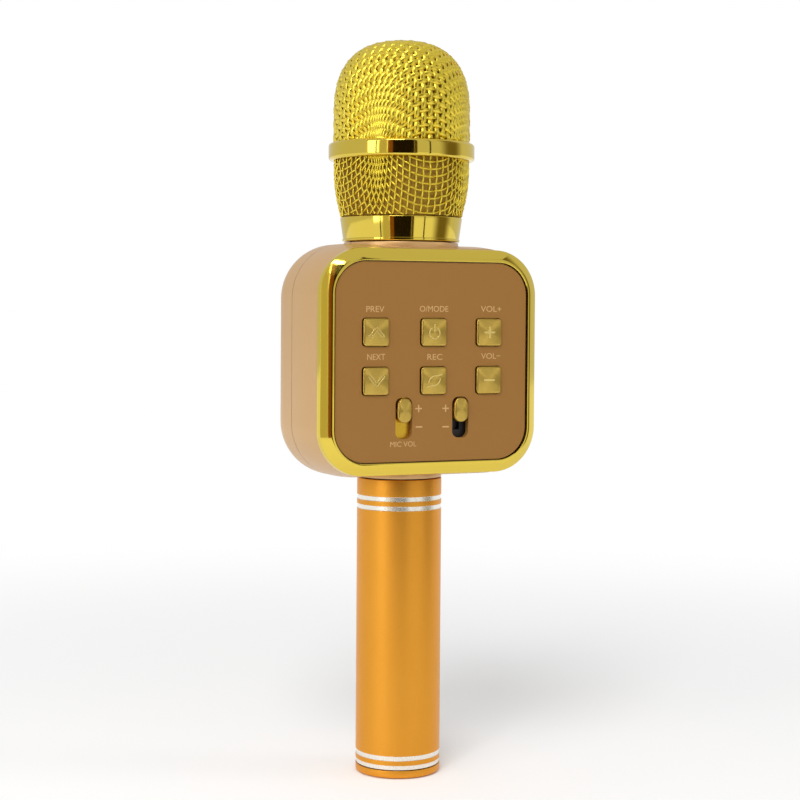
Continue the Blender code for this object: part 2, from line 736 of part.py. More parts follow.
def build_slider_knob(x):
    """Slider knob with its stem into the fader."""
    z = knob_centre_z()
    cap_back = board_front() - 2 * GAP - FADER_DEPTH
    knob = plate(rounded_rectangle(KNOB_WIDTH, KNOB_HEIGHT, KNOB_CORNER, 4), PANEL_FRONT - KNOB_PROUD,
                 cap_back, centre=(x, z))
    half = KNOB_STEM_WIDTH / 2
    stem = box((x - half, x + half), (cap_back - 0.5 * MM, fader_floor() - GAP),
               (z - KNOB_STEM_HEIGHT / 2, z + KNOB_STEM_HEIGHT / 2))
    return join(knob, stem)


# ---- Boards and sockets ---------------------------------------------------------------------------------
def build_control_board():
    """Board behind the front wall's window, between the screw bosses."""
    low, high = window()[1]
    grow = CONTROL_BOARD_OVERLAP
    reach = SCREW_X - SCREW_BOSS_RADIUS - GAP
    return box((-reach, reach), (board_front(), board_front() + BOARD_THICKNESS), (low - grow, high + grow))


def build_main_board():
    """Board across the box, from side wall to side wall."""
    reach = BOX_WIDTH / 2 - BOX_WALL - GAP - FRONT_TAPER / 4
    return box((-reach, reach), (MAIN_BOARD_FRONT, MAIN_BOARD_FRONT + BOARD_THICKNESS),
               (BOX_CENTRE_Z - MAIN_BOARD_HEIGHT / 2, BOX_CENTRE_Z + MAIN_BOARD_HEIGHT / 2))


def socket_mouth():
    """x of the sockets' mouths, just inside the box's right side."""
    return BOX_WIDTH / 2 - 2.0 * FRONT_TAPER / 4 - 0.5 * MM


def socket_slab(size, z, grow=0.0, outwards=0.0):
    """Box of a flat socket on the front of the main board, or of its opening in the wall."""
    back = MAIN_BOARD_FRONT - GAP + grow
    x_mouth = socket_mouth()
    return box((x_mouth - SOCKET_LENGTH, x_mouth + outwards), (back - size[0] - 2 * grow, back),
               (z - size[1] / 2 - grow, z + size[1] / 2 + grow))


def build_flat_socket(size, z, wall):
    """USB or card socket: a flat shell with a deep mouth."""
    body = socket_slab(size, z)
    back = MAIN_BOARD_FRONT - GAP
    mouth = box((socket_mouth() - SOCKET_LENGTH + 1.5 * MM, 1.0), (back - size[0] + wall, back - wall),
                (z - size[1] / 2 + wall, z + size[1] / 2 - wall))
    return cut(body, mouth)


def jack_y():
    """Depth of the round jack's axis."""
    return MAIN_BOARD_FRONT - GAP - JACK_RADIUS


def build_audio_jack():
    """Round 3.5 mm jack socket."""
    mouth = socket_mouth()
    body = rod(JACK_RADIUS, (mouth - SOCKET_LENGTH, jack_y(), JACK_Z), (mouth, jack_y(), JACK_Z), 24)
    return cut(body, rod(JACK_BORE, (mouth - SOCKET_LENGTH + 1.5 * MM, jack_y(), JACK_Z), (1.0, jack_y(), JACK_Z), 20))


def socket_holes():
    """Cutters for the three openings in the box's right side."""
    return (socket_slab(USB_SIZE, USB_Z, GAP, 0.02), socket_slab(CARD_SIZE, CARD_Z, GAP, 0.02),
            rod(JACK_RADIUS + GAP, (0.0, jack_y(), JACK_Z), (1.0, jack_y(), JACK_Z), 24))


# ---- Speaker --------------------------------------------------------------------------------------------
def build_speaker_frame():
    """Steel basket of the speaker, screwed to the inside of the back."""
    cup = MAGNET_RADIUS + 1.0 * MM
    depth = SPEAKER_DEPTH
    outline = [(CONE_RADIUS + GAP, 0.0), (SPEAKER_RADIUS, 0.0), (SPEAKER_RADIUS, -SPEAKER_FLANGE),
               (CONE_RADIUS + 2.0 * MM, -SPEAKER_FLANGE), (cup, -depth), (4.5 * MM, -depth),
               (4.5 * MM, -depth + 1.0 * MM), (cup - 0.6 * MM, -depth + 1.0 * MM),
               (CONE_RADIUS + GAP, -SPEAKER_FLANGE - 0.6 * MM)]
    return facing_back(turned(outline, closed=True, steps=INNER_STEPS), BOX_REAR - BOX_WALL - GAP)


def build_speaker_cone():
    """Paper cone with its dust cap, hung in the basket's rim."""
    top = -0.4 * MM
    deep = top - 5.5 * MM
    thick = 0.5 * MM
    dust = 6.0 * MM
    return facing_back(turned([(0.0, deep + 2.2 * MM), (dust * 0.6, deep + 1.7 * MM), (dust, deep + 0.4 * MM),
                               (CONE_RADIUS - 1.0 * MM, top), (CONE_RADIUS, top), (CONE_RADIUS, top - thick),
                               (CONE_RADIUS - 1.0 * MM, top - thick), (dust, deep - thick),
                               (3.5 * MM, deep - thick), (3.5 * MM, -SPEAKER_DEPTH + 0.6 * MM),
                               (0.0, -SPEAKER_DEPTH + 0.6 * MM)], steps=INNER_STEPS),
                       BOX_REAR - BOX_WALL - GAP)


def build_speaker_magnet():
    """Ferrite ring with its back plate."""
    top = -SPEAKER_DEPTH - GAP
    return facing_back(disc(MAGNET_RADIUS, top - MAGNET_DEPTH, top), BOX_REAR - BOX_WALL - GAP)


def ring_holes():
    """Outlines of the speaker grille's round holes, in hexagonal rings."""
    centres = [(0.0, 0.0)]
    for number in range(1, GRILLE_HOLE_RINGS + 1):
        for i in range(6 * number):
            angle = 2 * math.pi * i / (6 * number)
            reach = number * GRILLE_HOLE_PITCH
            centres.append((reach * math.cos(angle), reach * math.sin(angle)))
    sides = 6
    turns = [2 * math.pi * i / sides for i in range(sides)]
    return [[(x + GRILLE_HOLE_RADIUS * math.cos(a), z + GRILLE_HOLE_RADIUS * math.sin(a)) for a in turns]
            for x, z in centres]


def build_speaker_grille():
    """Perforated disc let into the back of the box."""
    turns = [2 * math.pi * i / TURNED_STEPS for i in range(TURNED_STEPS)]
    outline = [(GRILLE_DISC_RADIUS * math.cos(a), GRILLE_DISC_RADIUS * math.sin(a)) for a in turns]
    return plate(outline, BOX_REAR - GRILLE_DISC_THICKNESS, BOX_REAR, holes=ring_holes())


# ---- Grille head ----------------------------------------------------------------------------------------
def build_grille_collar():
    """Plated collar that screws onto the grille socket."""
    return turned([(COLLAR_BORE, COLLAR_TOP), (COLLAR_TOP_RADIUS - 0.3 * MM, COLLAR_TOP),
                   (COLLAR_TOP_RADIUS, COLLAR_TOP - 0.5 * MM), (COLLAR_BOTTOM_RADIUS, COLLAR_BOTTOM + 0.3 * MM),
                   (COLLAR_BOTTOM_RADIUS - 0.3 * MM, COLLAR_BOTTOM), (COLLAR_BORE, COLLAR_BOTTOM)], closed=True)


def basket_profile(inset, steps=4):
    """Lower basket's outline from the band down to the collar, drawn in by an inset."""
    low, high = COLLAR_TOP + GAP, BAND_BOTTOM - GAP
    points = []
    for step in range(steps + 1):
        share = step / steps
        radius = BASKET_TOP_RADIUS + (COLLAR_TOP_RADIUS - BASKET_TOP_RADIUS) * share
        radius += BASKET_BULGE * math.sin(math.pi * share)
        points.append((radius - inset, high + (low - high) * share))
    return points


def build_grille_lower():
    """Lower wire basket, as a thin shell of its outer shape."""
    return turned(basket_profile(MESH_WALL)[::-1] + basket_profile(0.0), closed=True)


def build_grille_band():
    """Plated band around the widest part of the head."""
    inner = BAND_RADIUS - BAND_WALL
    soft = BAND_ROUNDING
    return turned([(inner, BAND_TOP), (BAND_RADIUS - soft, BAND_TOP), (BAND_RADIUS, BAND_TOP - soft),
                   (BAND_RADIUS, BAND_BOTTOM + soft), (BAND_RADIUS - soft, BAND_BOTTOM), (inner, BAND_BOTTOM)],
                  closed=True)


def dome_profile(inset, steps=8):
    """Outer wire dome's outline from the pole down to the band: a superellipse crown on a nearly straight
    wall, drawn in by an inset."""
    shoulder = BAND_TOP + GAP + DOME_STRAIGHT
    height = DOME_TOP - shoulder
    points = []
    for step in range(steps + 1):
        angle = math.pi / 2 * step / steps
        radius = (DOME_BASE_RADIUS - inset) * math.sin(angle) ** (2 / DOME_POWER)
        rise = (height - inset) * max(math.cos(angle), 0.0) ** (2 / DOME_POWER)
        points.append((radius, shoulder + rise))
    points.append((DOME_BASE_RADIUS - inset, BAND_TOP + GAP))
    return points


def build_grille_dome():
    """Upper wire dome, as a thin shell of its outer shape."""
    return turned(dome_profile(0.0) + dome_profile(MESH_WALL)[::-1])


def build_foam_liner():
    """Foam windscreen that lines both halves of the head and leaves room for the capsule."""
    inset = MESH_WALL + FOAM_CLEARANCE
    outer = dome_profile(inset)[:-1]
    inner_band = BAND_RADIUS - BAND_WALL - FOAM_CLEARANCE
    waist = min(inner_band, DOME_BASE_RADIUS - inset)
    outer += [(waist, BAND_TOP), (waist, BAND_BOTTOM)] + basket_profile(inset)[1:]
    bore = [(FOAM_BORE, COLLAR_TOP + GAP), (FOAM_BORE, FOAM_BORE_TOP - 4 * MM),
            (FOAM_BORE - 4 * MM, FOAM_BORE_TOP), (0.0, FOAM_BORE_TOP)]
    return turned(outer + bore, steps=INNER_STEPS)


# ---- Capsule --------------------------------------------------------------------------------------------
def build_grille_socket():
    """Threaded socket on top of the box: a flange under the roof, a neck through it and the thread that
    takes the collar."""
    seat = box_floor() + BOX_HEIGHT - BOX_WALL - cavity_drop(SOCKET_FLANGE_RADIUS) - GAP
    thread = COLLAR_BORE - GAP
    return turned([(0.0, SOCKET_TOP), (thread, SOCKET_TOP), (thread, NECK_BOSS_TOP + GAP),
                   (SOCKET_NECK, NECK_BOSS_TOP + GAP), (SOCKET_NECK, seat), (SOCKET_FLANGE_RADIUS, seat),
                   (SOCKET_FLANGE_RADIUS, seat - SOCKET_FLANGE), (0.0, seat - SOCKET_FLANGE)], steps=INNER_STEPS)


def build_capsule_stem():
    """Plastic post that carries the capsule above the socket."""
    foot = SOCKET_TOP + GAP
    return turned([(0.0, STEM_TOP), (STEM_RADIUS, STEM_TOP), (STEM_RADIUS, foot + 3 * MM),
                   (STEM_RADIUS * 2, foot + 2 * MM), (STEM_RADIUS * 2, foot), (0.0, foot)], steps=INNER_STEPS)


def build_shock_mount():
    """Rubber ring between the stem and the capsule."""
    low = STEM_TOP + GAP
    high = low + SHOCK_HEIGHT
    waist = SHOCK_RADIUS - 1.5 * MM
    return turned([(0.0, high), (SHOCK_RADIUS, high), (SHOCK_RADIUS, high - 1 * MM), (waist, high - 1.6 * MM),
                   (waist, low + 1.6 * MM), (SHOCK_RADIUS, low + 1 * MM), (SHOCK_RADIUS, low), (0.0, low)],
                  steps=INNER_STEPS)


def build_mic_capsule():
    """Dynamic capsule with a domed front."""
    low = STEM_TOP + SHOCK_HEIGHT + 2 * GAP
    high = low + CAPSULE_HEIGHT
    return turned([(0.0, high), (CAPSULE_RADIUS * 0.55, high - 0.5 * MM), (CAPSULE_RADIUS - 1 * MM, high - 2 * MM),
                   (CAPSULE_RADIUS, high - 3.2 * MM), (CAPSULE_RADIUS, low), (0.0, low)], steps=INNER_STEPS)


# ---- Assembly -------------------------------------------------------------------------------------------
def main():
    """Builds every piece of the microphone."""
    clear_scene()
    finish_part(build_end_cap(), "end_cap", "anodised_gold")
    finish_part(build_handle_tube(), "handle_tube", "anodised_gold")
    finish_part(build_contact_spring(), "contact_spring", "steel")
    finish_part(build_battery_cell(), "battery_cell", "cell_wrap")
    finish_part(build_battery_sleeve(), "battery_sleeve", "black_plastic")
    finish_part(build_contact_plate(), "contact_plate", "steel")
    finish_part(build_handle_plug(), "handle_plug", "black_plastic")

    finish_part(build_front_shell(), "front_shell", "champagne_paint")
    finish_part(build_rear_shell(), "rear_shell", "champagne_paint")
    for number, (x, z) in enumerate(screw_places(), start=1):
        finish_part(build_case_screw(x, z), f"case_screw_{number}", "steel")
    finish_part(build_front_bezel(), "front_bezel", "chrome_gold")
    finish_part(build_front_panel(), "front_panel", "panel_paint")

    for z, names in zip(KEY_ROWS, KEY_NAMES):
        for x, name in zip(KEY_COLUMNS, names):
            finish_part(build_key(x, z), name, "brushed_gold")
    finish_part(build_keypad(), "keypad", "rubber")
    for x, side in zip(SLIDER_COLUMNS, ("left", "right")):
        finish_part(build_slider_knob(x), f"slider_knob_{side}", "brushed_gold")
        finish_part(build_fader(x), f"fader_{side}", "black_plastic")
    finish_part(build_control_board(), "control_board", "board_green")
    finish_part(build_main_board(), "main_board", "board_green")
    finish_part(build_flat_socket(USB_SIZE, USB_Z, 0.4 * MM), "usb_socket", "steel")
    finish_part(build_flat_socket(CARD_SIZE, CARD_Z, 0.4 * MM), "card_socket", "steel")
    finish_part(build_audio_jack(), "audio_jack", "black_plastic")

    finish_part(build_speaker_frame(), "speaker_frame", "steel")
    finish_part(build_speaker_cone(), "speaker_cone", "paper_cone")
    finish_part(build_speaker_magnet(), "speaker_magnet", "ferrite")
    finish_part(build_speaker_grille(), "speaker_grille", "chrome_gold")

    finish_part(build_grille_socket(), "grille_socket", "black_plastic")
    finish_part(build_capsule_stem(), "capsule_stem", "black_plastic")
    finish_part(build_shock_mount(), "shock_mount", "rubber")
    finish_part(build_mic_capsule(), "mic_capsule", "steel")
    finish_part(build_grille_collar(), "grille_collar", "chrome_gold")
    finish_part(build_grille_lower(), "grille_lower", "wire_gold")
    finish_part(build_grille_band(), "grille_band", "chrome_gold")
    finish_part(build_grille_dome(), "grille_dome", "wire_gold")
    finish_part(build_foam_liner(), "foam_liner", "foam")


main()
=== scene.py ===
"""Looks of a handheld karaoke microphone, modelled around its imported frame.

The frame holds the working pieces at their real size. Each class here models the visible surface of one
sub-assembly at the sizes that the frame was built to, and dresses it in node materials.
"""

from __future__ import annotations

import logging
import math
from contextlib import contextmanager
from dataclasses import dataclass, field
from enum import Enum
from typing import Callable, Iterable, Iterator, Sequence

import bmesh
import bpy
import numpy as np
from mathutils import Matrix, Vector

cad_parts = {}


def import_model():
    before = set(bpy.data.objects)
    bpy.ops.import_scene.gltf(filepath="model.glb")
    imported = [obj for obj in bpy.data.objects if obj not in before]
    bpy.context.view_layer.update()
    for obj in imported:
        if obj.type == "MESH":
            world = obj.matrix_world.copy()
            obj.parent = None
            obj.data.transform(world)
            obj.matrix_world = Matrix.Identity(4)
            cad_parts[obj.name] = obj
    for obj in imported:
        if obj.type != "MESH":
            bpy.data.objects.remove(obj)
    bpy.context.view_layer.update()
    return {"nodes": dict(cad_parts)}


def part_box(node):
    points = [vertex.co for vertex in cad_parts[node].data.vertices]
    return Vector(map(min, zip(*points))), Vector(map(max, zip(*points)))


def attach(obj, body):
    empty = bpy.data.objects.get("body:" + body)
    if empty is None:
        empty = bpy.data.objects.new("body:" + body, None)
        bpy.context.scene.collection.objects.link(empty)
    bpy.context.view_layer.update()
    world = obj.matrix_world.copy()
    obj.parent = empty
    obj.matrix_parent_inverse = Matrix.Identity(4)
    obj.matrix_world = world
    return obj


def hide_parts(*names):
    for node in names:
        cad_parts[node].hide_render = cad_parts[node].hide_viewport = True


LOG = logging.getLogger("karaoke_microphone")
MM = 0.001
MERGE = 0.002 * MM                 # vertices nearer than this are one
BOX_MIDDLE = 138.9 * MM            # height of the middle of the box and of all that is let into it

Point = tuple[float, float]
Socket = bpy.types.NodeSocket
Object = bpy.types.Object


class Body(str, Enum):
    """Bodies of the frame that pieces ride on."""

    HOUSING = "housing"
    HEAD = "grille_head"
    LEFT_SLIDER = "left_slider"
    RIGHT_SLIDER = "right_slider"


class Slot(str, Enum):
    """Material slots of the record, listed beside the new pieces."""

    HANDLE = "anodised_gold"
    CHROME = "chrome_gold"
    CASE = "champagne_paint"
    PANEL = "panel_paint"
    BRUSHED = "brushed_gold"
    WIRE = "wire_gold"
    FOAM = "foam"


# ---- Small tools ----------------------------------------------------------------------------------------
def linear(code: str) -> tuple[float, float, float, float]:
    """Turns an sRGB hex colour into linear RGBA.

    Args:
        code: Six hex digits, such as "D9962F".

    Returns:
        Red, green, blue and alpha for a shader socket.
    """
    values = [int(code[i:i + 2], 16) / 255 for i in (0, 2, 4)]
    red, green, blue = (v / 12.92 if v <= 0.04045 else ((v + 0.055) / 1.055) ** 2.4 for v in values)
    return red, green, blue, 1.0


def select_only(obj: Object) -> None:
    """Makes one object the only selected and the active one."""
    for other in bpy.context.selected_objects:
        other.select_set(False)
    obj.select_set(True)
    bpy.context.view_layer.objects.active = obj


@contextmanager
def editing(obj: Object) -> Iterator[None]:
    """Holds one mesh object in edit mode, and leaves it again at the end.

    Args:
        obj: The mesh object to edit.
    """
    select_only(obj)
    bpy.ops.object.mode_set(mode="EDIT")
    yield
    bpy.ops.object.mode_set(mode="OBJECT")


def apply_modifier(obj: Object, kind: str, **settings: object) -> Object:
    """Adds a modifier and applies it at once.

    Args:
        obj: The mesh object.
        kind: The modifier's type.
        settings: Its properties.

    Returns:
        The same object.
    """
    modifier = obj.modifiers.new(kind.lower(), kind)
    for name, value in settings.items():
        setattr(modifier, name, value)
    select_only(obj)
    bpy.ops.object.modifier_apply(modifier=modifier.name)
    return obj


def boolean(obj: Object, tool: Object, operation: str) -> Object:
    """Cuts or joins a piece by a tool object, and removes the tool.

    Args:
        obj: The piece.
        tool: The object that cuts it or joins it.
        operation: "DIFFERENCE" or "UNION".

    Returns:
        The piece.
    """
    apply_modifier(obj, "BOOLEAN", operation=operation, solver="EXACT", object=tool)
    bpy.data.objects.remove(tool)
    return obj


def bake_place(obj: Object) -> Object:
    """Moves an object's place into its mesh, so that the object sits at the origin."""
    select_only(obj)
    bpy.ops.object.transform_apply(location=True, rotation=True, scale=True)
    return obj


def smooth(obj: Object, angle: float = 32.0) -> Object:
    """Shades a piece smooth.

    Args:
        obj: The piece.
        angle: Edges that turn by more degrees than this stay sharp.

    Returns:
        The same object.
    """
    select_only(obj)
    bpy.ops.object.shade_smooth_by_angle(angle=math.radians(angle))
    return obj


def arc(centre: Point, radius: float, start: float, end: float, steps: int) -> list[Point]:
    """Points on an arc.

    Args:
        centre: The arc's centre.
        radius: Its radius.
        start: Its first angle, in degrees.
        end: Its last angle, in degrees.
        steps: How many chords it has.

    Returns:
        The points, from start to end.
    """
    turns = [math.radians(start + (end - start) * i / steps) for i in range(steps + 1)]
    return [(centre[0] + radius * math.cos(a), centre[1] + radius * math.sin(a)) for a in turns]


def lathe(name: str, profile: Sequence[Point], closed: bool, steps: int = 128) -> Object:
    """Turns a profile about Z: a circle's vertices are moved onto the profile, and the line is spun.

    Args:
        name: The new object's name.
        profile: (radius, height) points.
        closed: Whether the profile is a loop. An open one starts and ends on the axis.
        steps: Facets around.

    Returns:
        The turned object.
    """
    bpy.ops.mesh.primitive_circle_add(vertices=len(profile), radius=0.01, location=(0, 0, 0))
    obj = bpy.context.object
    obj.name = name
    for vertex, (radius, height) in zip(obj.data.vertices, profile):
        vertex.co = (radius, 0.0, height)
    last = len(profile) - 1
    for edge in obj.data.edges:
        edge.select = not closed and sorted(edge.vertices) == [0, last]
    for item in (*obj.data.vertices, *obj.data.polygons):
        item.select = False
    with editing(obj):
        bpy.ops.mesh.select_mode(type="EDGE")
        if not closed:
            bpy.ops.mesh.delete(type="EDGE")
        bpy.ops.mesh.select_mode(type="VERT")
        bpy.ops.mesh.select_all(action="SELECT")
        bpy.ops.mesh.spin(steps=steps, angle=2 * math.pi, center=(0, 0, 0), axis=(0, 0, 1))
        bpy.ops.mesh.select_all(action="SELECT")
        bpy.ops.mesh.remove_doubles(threshold=MERGE)
        bpy.ops.mesh.normals_make_consistent(inside=False)
    return obj


def rounded_face(name: str, width: float, height: float, corner: float, centre: Vector,
                 facing: float = -1.0, segments: int = 12) -> Object:
    """A flat rounded rectangle that faces -Y or +Y.

    Args:
        name: The new object's name.
        width: Its size along X.
        height: Its size along Z.
        corner: Its corner radius.
        centre: Its centre.
        facing: -1 to face -Y, 1 to face +Y.
        segments: Chords in each corner.

    Returns:
        The one-faced object.
    """
    bpy.ops.mesh.primitive_plane_add(size=1.0, location=centre, rotation=(-facing * math.pi / 2, 0, 0))
    obj = bpy.context.object
    obj.name = name
    obj.scale = (width, height, 1.0)
    bake_place(obj)
    with editing(obj):
        bpy.ops.mesh.select_all(action="SELECT")
        bpy.ops.mesh.bevel(offset=corner, segments=segments, affect="VERTICES", clamp_overlap=False)
    return obj


def inset_along(obj: Object, steps: Iterable[Point]) -> Object:
    """Draws a one-faced piece out into a solid's wall, with its face as the moving front.

    Args:
        obj: A piece with one flat face.
        steps: (inset, depth) pairs, where depth is along the face's normal.

    Returns:
        The same object.
    """
    normal = obj.data.polygons[0].normal.copy()
    with editing(obj):
        bpy.ops.mesh.select_mode(type="FACE")
        bpy.ops.mesh.select_all(action="SELECT")
        for thickness, depth in steps:
            if thickness:
                bpy.ops.mesh.inset(thickness=thickness, depth=depth, use_even_offset=True)
            else:
                bpy.ops.mesh.extrude_region_move(TRANSFORM_OT_translate={"value": normal * depth})
    return obj


def close_back(obj: Object) -> Object:
    """Fills a piece's open edge, so that it is one closed body.

    Args:
        obj: A piece with one open edge, or none.

    Returns:
        The same object.
    """
    with editing(obj):
        bpy.ops.mesh.select_mode(type="EDGE")
        bpy.ops.mesh.select_all(action="DESELECT")
        bpy.ops.mesh.select_non_manifold()
        bpy.ops.mesh.edge_face_add()
        bpy.ops.mesh.select_all(action="SELECT")
        bpy.ops.mesh.normals_make_consistent(inside=False)
    return obj


def weld(obj: Object, distance: float = MERGE) -> Object:
    """Merges a piece's doubled vertices, dissolves what has no area and turns its faces outwards.

    Args:
        obj: The piece.
        distance: Vertices nearer than this are merged.

    Returns:
        The same object.
    """
    with editing(obj):
        bpy.ops.mesh.select_all(action="SELECT")
        bpy.ops.mesh.remove_doubles(threshold=distance)
        bpy.ops.mesh.dissolve_degenerate(threshold=distance)
        bpy.ops.mesh.select_all(action="SELECT")
        bpy.ops.mesh.normals_make_consistent(inside=False)
    return obj


def rod(start: Sequence[float], end: Sequence[float], radius: float, vertices: int = 48) -> Object:
    """A cylinder between two points, used as a tool for cuts and unions.

    Args:
        start: The middle of one end.
        end: The middle of the other.
        radius: Its radius.
        vertices: Facets around.

    Returns:
        The cylinder.
    """
    start, end = Vector(start), Vector(end)
    along = end - start
    bpy.ops.mesh.primitive_cylinder_add(vertices=vertices, radius=radius, depth=along.length,
                                        location=(start + end) / 2,
                                        rotation=along.to_track_quat("Z", "Y").to_euler())
    return bake_place(bpy.context.object)


def block(low: Sequence[float], high: Sequence[float]) -> Object:
    """A box used as a tool for cuts.

    Args:
        low: Its lowest corner.
        high: Its highest corner.

    Returns:
        The box.
    """
    low, high = Vector(low), Vector(high)
    bpy.ops.mesh.primitive_cube_add(size=1.0, location=(low + high) / 2)
    bpy.context.object.scale = high - low
    return bake_place(bpy.context.object)


def rounded_outline(width: float, height: float, corner: float, centre: Point,
                    segments: int = 12) -> list[Point]:
    """Points of a rounded rectangle in the XZ plane, anticlockwise.

    Args:
        width: Its size along X.
        height: Its size along Z.
        corner: Its corner radius.
        centre: Its centre.
        segments: Chords in each corner.

    Returns:
        The points.
    """
    points: list[Point] = []
    for quarter, (sx, sz) in enumerate(((1, 1), (-1, 1), (-1, -1), (1, -1))):
        middle = (centre[0] + sx * (width / 2 - corner), centre[1] + sz * (height / 2 - corner))
        points += arc(middle, corner, quarter * 90.0, quarter * 90.0 + 90.0, segments)
    return points


def flat_plate(name: str, outlines: Sequence[Sequence[Point]], front: float, back: float) -> Object:
    """A plate facing -Y, from an outline and holes, made as a filled flat curve and then a mesh.

    Args:
        name: The new object's name.
        outlines: The outer outline and then the holes, as (x, z) points.
        front: y of its front face.
        back: y of its rear face.

    Returns:
        The plate as a mesh object.
    """
    curve = bpy.data.curves.new(name, "CURVE")
    curve.dimensions = "2D"
    curve.fill_mode = "BOTH"
    curve.extrude = (back - front) / 2
    for points in outlines:
        spline = curve.splines.new("POLY")
        spline.points.add(len(points) - 1)
        for point, (x, z) in zip(spline.points, points):
            point.co = (x, z, 0.0, 1.0)
        spline.use_cyclic_u = True
    obj = bpy.data.objects.new(name, curve)
    bpy.context.scene.collection.objects.link(obj)
    obj.rotation_euler = (math.pi / 2, 0, 0)
    obj.location = (0, (front + back) / 2, 0)
    select_only(obj)
    bpy.ops.object.convert(target="MESH")
    return weld(bake_place(obj))


# ---- Materials ------------------------------------------------------------------------------------------
def add_node(tree: bpy.types.NodeTree, kind: str, links: dict[str, Socket] | None = None,
             values: dict[str, object] | None = None, **settings: object) -> bpy.types.Node:
    """Adds one node with its settings, socket values and links.

    Args:
        tree: The node tree.
        kind: The node's type name.
        links: Input names and the sockets that feed them.
        values: Input names and plain values.
        settings: Properties of the node itself.

    Returns:
        The new node.
    """
    node = tree.nodes.new(kind)
    for name, value in settings.items():
        setattr(node, name, value)
    for name, value in (values or {}).items():
        node.inputs[name].default_value = value
    for name, source in (links or {}).items():
        tree.links.new(source, node.inputs[name])
    return node


def new_material(name: str) -> tuple[bpy.types.Material, bpy.types.NodeTree]:
    """Makes a node material, which starts as one Principled shader."""
    made = bpy.data.materials.new(name)
    made.use_nodes = True
    return made, made.node_tree


def tint(tree: bpy.types.NodeTree, factor: Socket, colour: str, dark: str) -> None:
    """Feeds the shader's base colour from a mix of two colours.

    Args:
        tree: The material's node tree.
        factor: The socket that says how much of the darker colour is mixed in.
        colour: The lighter colour, as sRGB hex.
        dark: The darker colour, as sRGB hex.
    """
    mix = add_node(tree, "ShaderNodeMix", {"Factor": factor}, data_type="RGBA")
    mix.inputs[6].default_value = linear(colour)
    mix.inputs[7].default_value = linear(dark)
    tree.links.new(mix.outputs[2], tree.nodes["Principled BSDF"].inputs["Base Color"])


@dataclass(frozen=True)
class Finish:
    """A surface finish: its shader's values, and a fine grain for colour, roughness and bump."""

    name: str
    colour: str
    dark: str
    metallic: float
    roughness: float
    spread: float = 0.05          # how far the grain moves the roughness
    grain_mm: float = 0.6         # size of one grain
    bump_mm: float = 0.01
    mottle: float = 0.35          # how much of the darker colour the grain mixes in
    shader: tuple[tuple[str, object], ...] = ()

    def material(self) -> bpy.types.Material:
        """Builds the material once and returns it."""
        if self.name in bpy.data.materials:
            return bpy.data.materials[self.name]
        made, tree = new_material(self.name)
        shader = tree.nodes["Principled BSDF"]
        place = add_node(tree, "ShaderNodeTexCoord").outputs["Object"]
        grain = add_node(tree, "ShaderNodeTexNoise", {"Vector": place},
                         {"Scale": 1.0 / (self.grain_mm * MM), "Detail": 3.0, "Roughness": 0.6})
        broad = add_node(tree, "ShaderNodeTexNoise", {"Vector": place},
                         {"Scale": 1.0 / (22.0 * MM), "Detail": 2.0})
        share = add_node(tree, "ShaderNodeMath", {0: grain.outputs["Fac"], 1: broad.outputs["Fac"]},
                         operation="MULTIPLY")
        amount = add_node(tree, "ShaderNodeMath", {0: share.outputs[0]}, {1: 2.0 * self.mottle},
                          operation="MULTIPLY")
        tint(tree, amount.outputs[0], self.colour, self.dark)
        rough = add_node(tree, "ShaderNodeMapRange", {"Value": grain.outputs["Fac"]},
                         {"From Min": 0.3, "From Max": 0.7, "To Min": max(self.roughness - self.spread, 0.02),
                          "To Max": self.roughness + self.spread})
        tree.links.new(rough.outputs["Result"], shader.inputs["Roughness"])
        bump = add_node(tree, "ShaderNodeBump", {"Height": grain.outputs["Fac"]},
                        {"Distance": self.bump_mm * MM, "Strength": 1.0})
        tree.links.new(bump.outputs["Normal"], shader.inputs["Normal"])
        shader.inputs["Metallic"].default_value = self.metallic
        for socket, value in self.shader:
            shader.inputs[socket].default_value = value
        return made


# Anodised aluminium: satin, coloured through, with the faint grain of a fine blast.
ANODISED = Finish("anodised_aluminium_orange_gold", "E8A13A", "D08A28", 1.0, 0.40, 0.04, 0.35, bump_mm=0.004)
# Bright-turned aluminium: the anodising is cut through, so the grooves shine silver.
BRIGHT_TURNED = Finish("bright_turned_aluminium", "F4F1E8", "DAD6CC", 1.0, 0.27, 0.04, 0.5, bump_mm=0.001)
# Gold-coloured vacuum plating over moulded plastic: a mirror with a faint haze.
PLATED = Finish("gold_vacuum_plating", "E2C853", "D8BA46", 1.0, 0.07, 0.02, 3.0, bump_mm=0.0006, mottle=0.2)
# Metallic champagne spray paint under a satin clear coat: very fine flakes.
CHAMPAGNE = Finish("champagne_metallic_paint", "CBA26B", "B98E58", 0.55, 0.36, 0.05, 0.25, bump_mm=0.003,
                   mottle=0.25, shader=(("Coat Weight", 0.25), ("Coat Roughness", 0.25)))
# Bronze paint on a stamped plate: satin and even.
BRONZE = Finish("bronze_satin_paint", "986C34", "8C622E", 0.35, 0.42, 0.04, 0.25, bump_mm=0.003, mottle=0.3,
                shader=(("Specular IOR Level", 0.3),))
# Gold-plated brass wire: bright, with slight draw marks.
WIRE = Finish("gold_plated_wire", "EDD64C", "D2B23A", 1.0, 0.30, 0.05, 0.4, bump_mm=0.004, mottle=0.3)
# Open-cell polyurethane foam: dead matt with coarse pores.
FOAM = Finish("open_cell_foam", "BC942E", "665012", 0.0, 0.95, 0.04, 0.9, bump_mm=0.25, mottle=0.9)
# Moulded ABS: slightly shiny black.
MOULDED = Finish("moulded_black_abs", "1B1A19", "121211", 0.0, 0.45, 0.05, 0.4, bump_mm=0.006)
# Silicone rubber: matt and dusty.
SILICONE = Finish("silicone_rubber", "2A2928", "1E1D1C", 0.0, 0.80, 0.04, 0.5, bump_mm=0.006)
